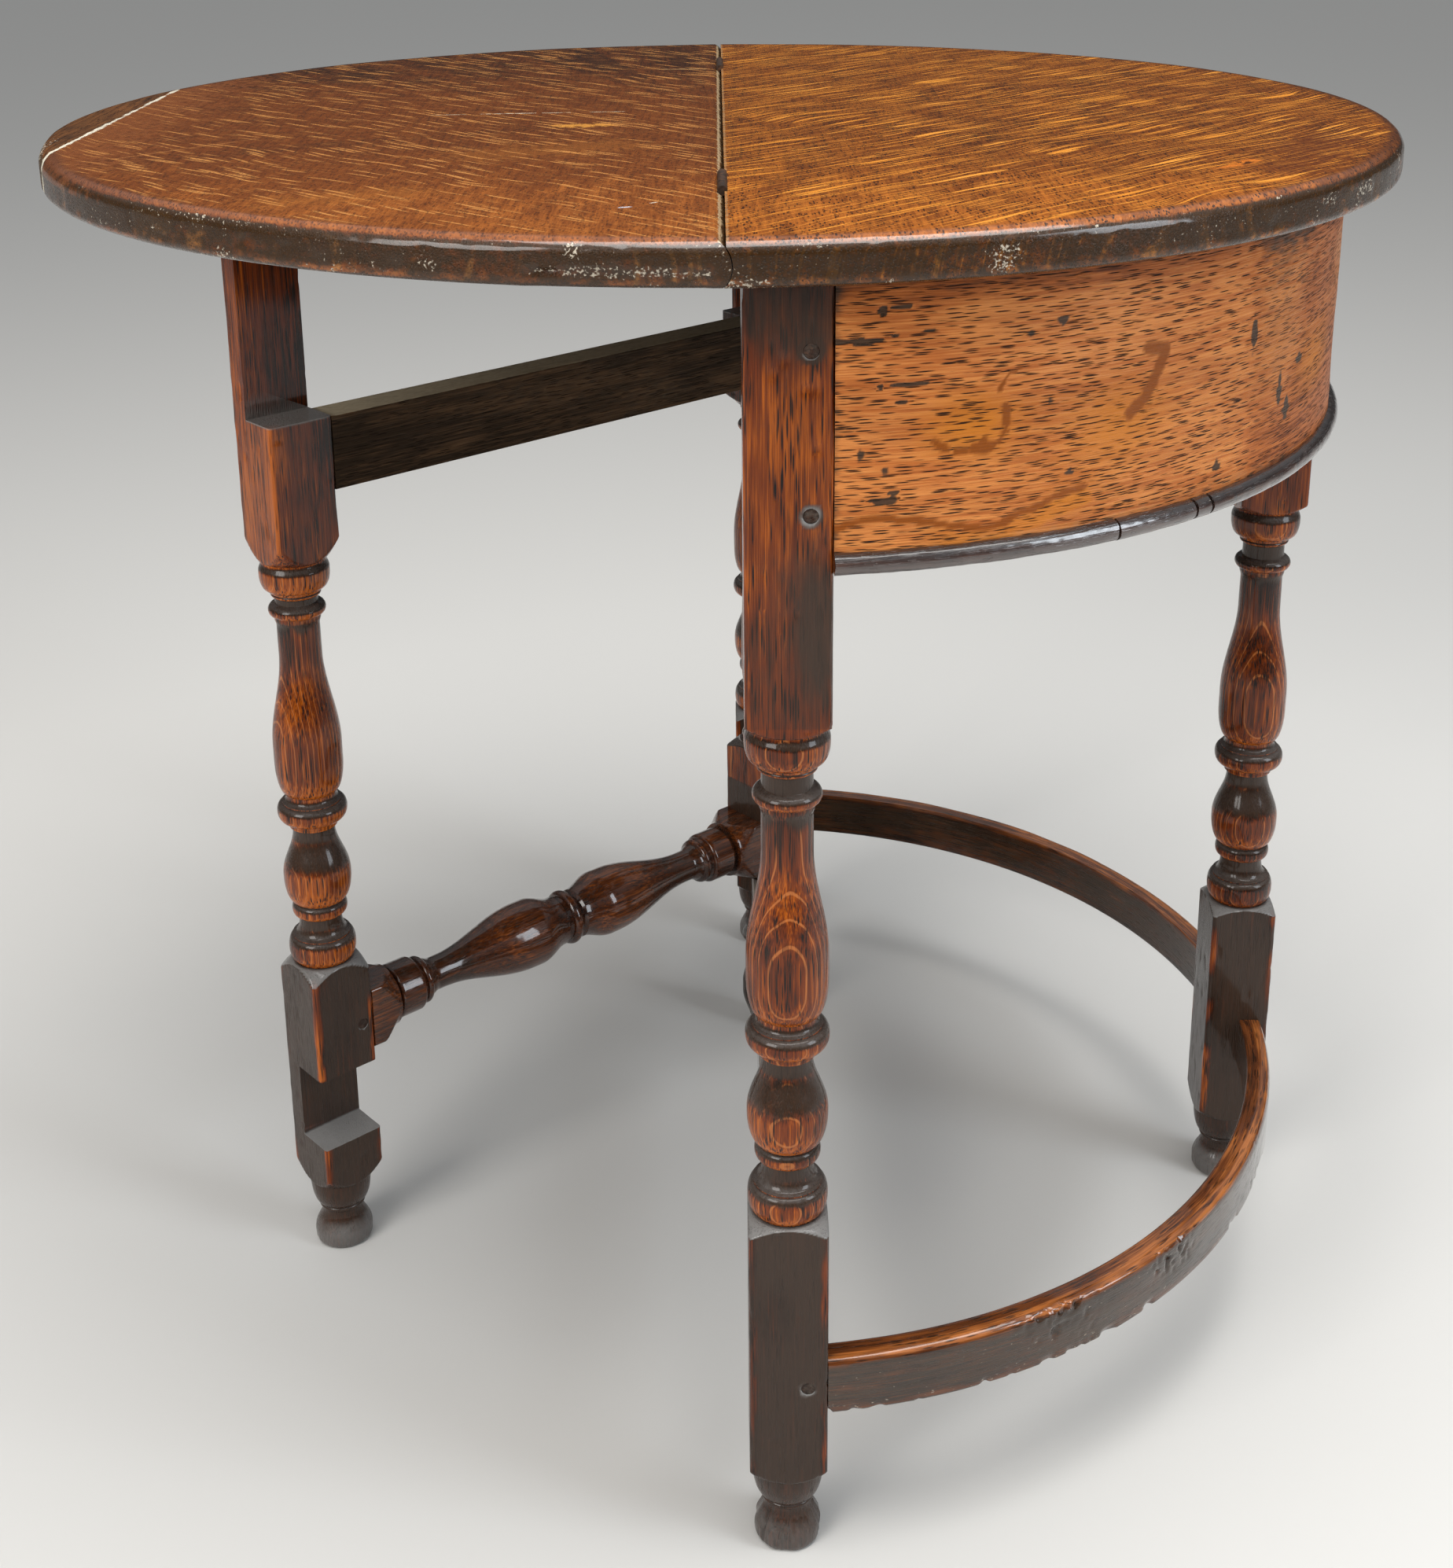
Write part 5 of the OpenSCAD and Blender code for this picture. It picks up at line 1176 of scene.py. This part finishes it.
def paint_frieze(points, normals, front):
    """Pale waxed face, darker and redder towards the bow, with stains, tears and nail spots in front, and a painted
    shadow of the top along its upper edge; bare and dusty inside."""
    x, y, z = points.T
    angle = -np.degrees(np.arctan2(np.abs(y), x - CURVE_X))
    u = angle * FRIEZE_MM
    at = np.stack([u, z, 0 * z], 1)
    patch, small = noise(at, (60, 30, 9), 93), noise(at, (6, 2.5, 9), 94)
    end = step(-45.5, -41.5, angle + 1.2 * small)
    inside = step(0.2, 0.8, -((x - CURVE_X) * normals[:, 0] + y * normals[:, 1]) / FRIEZE_R)
    # top: painted shadow of the leaf along the frieze's upper edge, made darker and less worn
    top = step(676, 694, z + 4 * patch)
    worn = 0.72 + 0.14 * patch - 0.34 * end + 0.3 * end * step(0.1, 0.7, patch) - 0.4 * top
    grime = 0.34 * top + 0.16 * end * np.clip(0.4 + patch, 0, 1) + 0.16 * end * step(640, 690, z)
    grime = grime + 0.45 * (1 - step(-84.2, -82.8, angle)) + 0.9 * inside
    dust = 0.30 * (1 - step(FRIEZE_LOW + 11, FRIEZE_LOW + 17, z + 3 * patch)) * (1 - inside) + 0.35 * inside
    amber = 0.26 * end * np.clip(0.8 + 0.6 * patch, 0, 1)
    glow = 0.0
    if front:
        for a, height, size, strength in GLOWS:
            off = ((angle - a) * FRIEZE_MM / size) ** 2 + ((z - height) / (0.6 * size)) ** 2
            glow = glow + strength * np.exp(-off)
        below = near_line(u, z, [(a * FRIEZE_MM, h - 5.5) for a, h in WAVE_LINE], 4.2, 1.2 * small)
        glow = glow + 0.5 * below * step(-79, -74, angle)
        splinter = noise(at, (18, 1.3, 9), 95)
        for spots, ragged, near, far, strength in ((TEARS, 0.55, 0.7, 1.05, 1.1), (DARK_SPOTS, 0.6, 0.5, 1.1, 0.9)):
            for a, height, wide, tall in (spot[:4] for spot in spots):
                away = np.abs(angle - a) * FRIEZE_MM / wide + 0.8 * np.abs(z - height) / tall + ragged * splinter
                grime = grime + strength * (1 - step(near, far, away))
        for line, half in STAIN_LINES + ((FLAME_LINE, 3.2), (WAVE_LINE, 1.9)):
            stain = near_line(u, z, [(a * FRIEZE_MM, h) for a, h in line], half, 0.8 * small)
            amber = np.maximum(amber, stain)
    return dict(worn=worn, grime=grime, dust=dust, amber=0.9 * amber, scuff=np.clip(glow, 0, 1) * (1 - inside))


def paint_stretcher(points):
    """Black faces, the upper outer arris rubbed bare, the lower one scuffed."""
    x, y, z = points.T
    r = np.hypot(x - CURVE_X, y)
    at = np.stack([np.arctan2(y, x - CURVE_X) * STRETCHER_R, z, r], 1)
    patch, small = noise(at, (60, 14, 14), 131), noise(at, (9, 4, 6), 132)
    top = step(STRETCHER_LOW + STRETCHER_H - 5.5, STRETCHER_LOW + STRETCHER_H - 0.8, z)
    outer = step(STRETCHER_R - 10, STRETCHER_R - 5, r)
    low = 1 - step(STRETCHER_LOW + 2, STRETCHER_LOW + 8, z + 3 * small)
    worn = 0.18 + 0.16 * patch + 0.10 * small + 0.24 * top + 0.34 * top * (0.25 + 0.75 * outer) + 0.22 * low * outer
    return dict(worn=worn, grime=0.50 * (1 - top) + 0.14 * patch - 0.2 * low,
                dust=0.03 + 0.08 * step(-0.1, 0.5, patch) * (1 - top), scuff=0.45 * outer * (1 - top) + 0.25 * low)


def paint_bead(points):
    """Black on its upper side, browner below, with fine cracks across it near the bow."""
    x, y, z = points.T
    u = np.degrees(np.arctan2(y, x - CURVE_X)) * FRIEZE_MM
    patch = noise(np.stack([u, z, 0 * z], 1), (20, 8, 9), 121)
    upper = step(FRIEZE_LOW + 6.0, FRIEZE_LOW + 10.0, z)
    crack = sum(np.exp(-((u - a * FRIEZE_MM) / 0.8) ** 2) for a in (-46.3, -43.5, -35.0))
    return dict(worn=0.45 + 0.2 * patch - 0.3 * upper, grime=0.25 + 0.3 * upper + 0.2 * patch + 0.6 * crack,
                dust=0.08 + 0.08 * patch, scuff=0.22 + 0.2 * upper)


def paint_rail(points, normals, seed, worn=0.3, grime=0.25, dust=0.25):
    """Patchy all over, dusty on top."""
    patch, small = noise(points, (34, 60, 20), seed), noise(points, (8, 14, 6), seed + 1)
    up = step(0.5, 0.9, normals[:, 2])
    return dict(worn=worn + 0.2 * patch + 0.1 * small, grime=grime + 0.2 * patch, dust=dust + 0.1 * patch + 0.7 * up)


def paint_gate_stretcher(points, normals):
    """Points with the stretcher's axis along Y: well polished, grey only in the coves."""
    x, y, z = points.T
    r = np.hypot(x, z - TURNED_Z)
    patch = noise(points, (20, 40, 20), 68)
    cove = 1 - step(12.0, 15.0, r)
    near_middle = np.exp(-(((y + GATE_LEN / 2) / 26) ** 2))
    return dict(worn=0.34 + 0.2 * patch + 0.22 * step(16, 21, r), grime=0.20 + 0.22 * patch + 0.2 * cove,
                dust=0.10 + 0.45 * cove * near_middle + 0.1 * step(0.4, 0.9, normals[:, 2]))


# ---------------------------------------------------------------- finished pieces
def finish_piece(piece, material, body, slot, replaced, grain, **paint):
    """Gives a piece its place in the tree, painted values, material and body, and lets it stand for its CAD nodes.

    grain holds each point in mm as it lay in the tree: two directions across the grain, then along it."""
    mesh = piece.data
    lay = mesh.attributes.new("grain", "FLOAT_VECTOR", "POINT")
    lay.data.foreach_set("vector", grain.astype(np.float32).ravel())
    for key, values in paint.items():
        made = mesh.attributes.new(key, "FLOAT", "POINT")
        made.data.foreach_set("value", np.clip(np.broadcast_to(values, len(mesh.vertices)), 0, 1).astype(np.float32))
    mesh.materials.clear()
    mesh.materials.append(material)
    mesh.polygons.foreach_set("use_smooth", np.ones(len(mesh.polygons), bool))
    mesh.set_sharp_from_angle(angle=math.radians(38))
    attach(piece, body)
    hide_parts(*replaced)


def along_y(p, shift=0):
    return np.stack([p[:, 0], p[:, 2], p[:, 1] + shift], 1)


def round_curve(p, radius):
    """How far each point lies from the middle of the curve, its height, and its way round at the radius."""
    off = p[:, 0] - CURVE_X
    return np.hypot(p[:, 1], off), p[:, 2], np.arctan2(p[:, 1], off) * radius


# Pieces that share a material lie at their own heights in the tree, so that no two show the same figure.
for piece, material, body, slot, name, seed in (
        (fixed_leaf, LEAF_OAK, "table", "leaf_oak", "fixed_leaf", 101),
        (flap_board, FLAP_OAK, "flap", "flap_oak", "flap_board", 102),
        (flap_strip, STRIP_OAK, "flap", "strip_oak", "flap_strip", 103)):
    p, n = points_of(piece), normals_of(piece)
    finish_piece(piece, material, body, slot, [name], along_y(p), **paint_leaf(p, n, seed, body == "flap"))

for piece, name, centre, seed, turned_worn in (
        (front_leg, "front_leg", (FRAME_X, -LEG_Y, 0), 11, 0.0), (rear_leg, "rear_leg", (FRAME_X, LEG_Y, 0), 12, 0.0),
        (bow_leg, "bow_leg", (BOW_X, 0, 0), 13, -0.08)):
    p, n = points_of(piece) - centre, normals_of(piece)
    painted = paint_front_leg(p, n) if piece is front_leg else paint_leg(p, n, seed, turned_worn=turned_worn)
    finish_piece(piece, LEG_OAK, "table", "leg_oak", [name], p + (0, 0, 900 * (seed - 11)), **painted)

for piece, name in ((front_frieze, "front_frieze"), (rear_frieze, "rear_frieze")):
    p, n = points_of(piece), normals_of(piece)
    finish_piece(piece, FRIEZE_OAK, "table", "frieze_oak", [name], np.stack(round_curve(p, FRIEZE_R), 1),
                 **paint_frieze(p, n, piece is front_frieze))

for name, piece in beads.items():
    p = points_of(piece)
    grain = np.stack([p[:, 2], np.hypot(p[:, 0], p[:, 1]), round_curve(p, FRIEZE_R)[2]], 1)
    finish_piece(piece, BEAD_OAK, "table", "bead_oak", [name], grain, **paint_bead(p))

for piece, name in ((front_stretcher, "front_stretcher"), (rear_stretcher, "rear_stretcher")):
    p = points_of(piece)
    out, up, run = round_curve(p, STRETCHER_R)
    finish_piece(piece, STRETCHER_OAK, "table", "stretcher_oak", [name], np.stack([up, out, run], 1),
                 **paint_stretcher(p))

for piece, material, slot, name, seed in (
        (back_rail, RAIL_OAK, "rail_oak", "back_rail", 141),
        (back_stretcher, STRETCHER_OAK, "stretcher_oak", "back_stretcher", 143)):
    p, n = points_of(piece), normals_of(piece)
    finish_piece(piece, material, "table", slot, [name], along_y(p, seed * 10), **paint_rail(p, n, seed))

turn_back = np.array(SWING.to_3x3().inverted())
for piece, material, slot, name in (
        (gate_leg, LEG_OAK, "leg_oak", "gate_leg"), (gate_rail, RAIL_OAK, "rail_oak", "gate_rail"),
        (gate_stretcher, TURNED_OAK, "turned_oak", "gate_stretcher"), (gate_post, LEG_OAK, "leg_oak", "gate_post"),
        (gate_post_foot, LEG_OAK, "leg_oak", "gate_post_foot")):
    p, n = gate_points(piece), normals_of(piece) @ turn_back.T
    if piece is gate_leg:
        q = p + (0, GATE_LEN, 0)
        grain, painted = q + (0, 0, 3600), paint_gate_leg(q, n)
    elif piece is gate_rail:
        grain, painted = along_y(p, 4000), paint_rail(p, n, 151, worn=0.16, grime=0.20, dust=0.06)
    elif piece is gate_stretcher:
        grain, painted = along_y(p - (0, 0, TURNED_Z)), paint_gate_stretcher(p, n)
    else:
        grain, painted = p + (0, 0, 5000), paint_leg(p, n, 161, low=0.1, high=0.2)
    finish_piece(piece, material, "gate", slot, [name], grain, **painted)

front_pegs = pegs("front_pegs", [(PEG_X, -LEG_Y - HALF_W + 0.5, z) for z in PEG_HEIGHTS], (0, 1, 0), 3)
rear_pegs = pegs("rear_pegs", [(PEG_X, LEG_Y + HALF_W - 0.5, z) for z in PEG_HEIGHTS], (0, -1, 0), 4)
frame_pegs = joined("frame_pegs_riven", front_pegs, rear_pegs)
gate_pegs = swung(pegs("gate_pegs_riven", [(HALF_W - 0.4, y, TURNED_Z) for y in GATE_PEG_Y], (-1, 0, 0), 5))
finish_piece(frame_pegs, PEG_OAK, "table", "peg_oak", ["frame_pegs"], along_y(points_of(frame_pegs)),
             worn=0.35, grime=0.3, dust=0.3)
finish_piece(gate_pegs, PEG_OAK, "gate", "peg_oak", ["gate_pegs"], gate_points(gate_pegs)[:, ::-1],
             worn=0.3, grime=0.3, dust=0.25)


# ---------------------------------------------------------------- camera, light and floor
# The photo's camera: its picture's size, focal length and middle in pixels, its place in mm and its turns in radians
PHOTO_W, PHOTO_H = 1848.0, 1994.0
FOCAL, MIDDLE = 2675.2, (920.3, 622.0)
CAMERA_AT, YAW, PITCH, ROLL = (-1.95, -1229.4, 887.7), 0.0011, 0.3127, 0.0103


def make_camera():
    cam = bpy.data.cameras.new("camera")
    cam.sensor_fit = "AUTO"
    cam.sensor_width = 36.0
    cam.lens = 36.0 * FOCAL / PHOTO_H
    cam.shift_x = (PHOTO_W / 2 - MIDDLE[0]) / PHOTO_H
    cam.shift_y = -(PHOTO_H / 2 - MIDDLE[1]) / PHOTO_H
    cam.clip_start, cam.clip_end = 0.05, 30.0
    ahead = Vector((math.sin(YAW) * math.cos(PITCH), math.cos(YAW) * math.cos(PITCH), -math.sin(PITCH)))
    right = Vector((math.cos(YAW), -math.sin(YAW), 0.0))
    down = ahead.cross(right)
    across = math.cos(ROLL) * right + math.sin(ROLL) * down
    below = -math.sin(ROLL) * right + math.cos(ROLL) * down
    turn = Matrix((across, -below, -ahead)).transposed()
    holder = added("camera", cam)
    holder.matrix_world = Matrix.Translation(Vector(CAMERA_AT) * MM) @ turn.to_4x4()
    bpy.context.scene.camera = holder


def make_light(name, at, aim, size, power, tint):
    lamp = bpy.data.lights.new(name, "AREA")
    lamp.shape = "RECTANGLE"
    lamp.size, lamp.size_y = size
    lamp.energy = power
    lamp.color = tint
    holder = added(name, lamp)
    holder.location = at
    holder.rotation_mode = "QUATERNION"
    holder.rotation_quaternion = (Vector(aim) - Vector(at)).to_track_quat("-Z", "Y")


def make_sky():
    """Dark near the horizon, like a draped studio wall, and pale overhead."""
    world = bpy.data.worlds.new("studio")
    bpy.context.scene.world = world
    world.use_nodes = True
    tree = world.node_tree
    sky = tree.nodes["Background"]
    sky.inputs["Color"].default_value = (0.84, 0.86, 0.88, 1.0)
    height = node(tree, "SeparateXYZ", {"Vector": node(tree, "TexCoord", out="Generated")}, out="Z")
    tree.links.new(node(tree, "MapRange", {0: height, 1: 0.2, 2: 0.9, 3: 0.04, 4: 0.8}), sky.inputs["Strength"])


def studio_floor():
    """A wide pale floor that fills the picture."""
    mesh = bpy.data.meshes.new("floor")
    mesh.from_pydata([(-18, -18, 0), (18, -18, 0), (18, 18, 0), (-18, 18, 0)], [], [(0, 1, 2, 3)])
    floor = added("floor", mesh)
    paper, _, shader = new_material("matt_paper")
    shader.inputs["Base Color"].default_value = (0.54, 0.53, 0.51, 1.0)
    shader.inputs["Roughness"].default_value = 0.75
    mesh.materials.append(paper)


make_camera()
make_light("ceiling_softbox", (0.3, -0.5, 2.9), (0.0, 0.0, 0.6), (2.4, 1.6), 84, (1.0, 0.985, 0.96))
make_light("front_left_softbox", (-1.9, -2.2, 1.9), (0.0, -0.1, 0.5), (1.4, 1.6), 70, (1.0, 0.98, 0.95))
make_light("right_window", (2.3, -1.2, 1.5), (0.1, -0.1, 0.45), (0.9, 1.5), 40, (0.86, 0.93, 1.0))
make_sky()
studio_floor()
bpy.context.scene.view_settings.view_transform = "Standard"
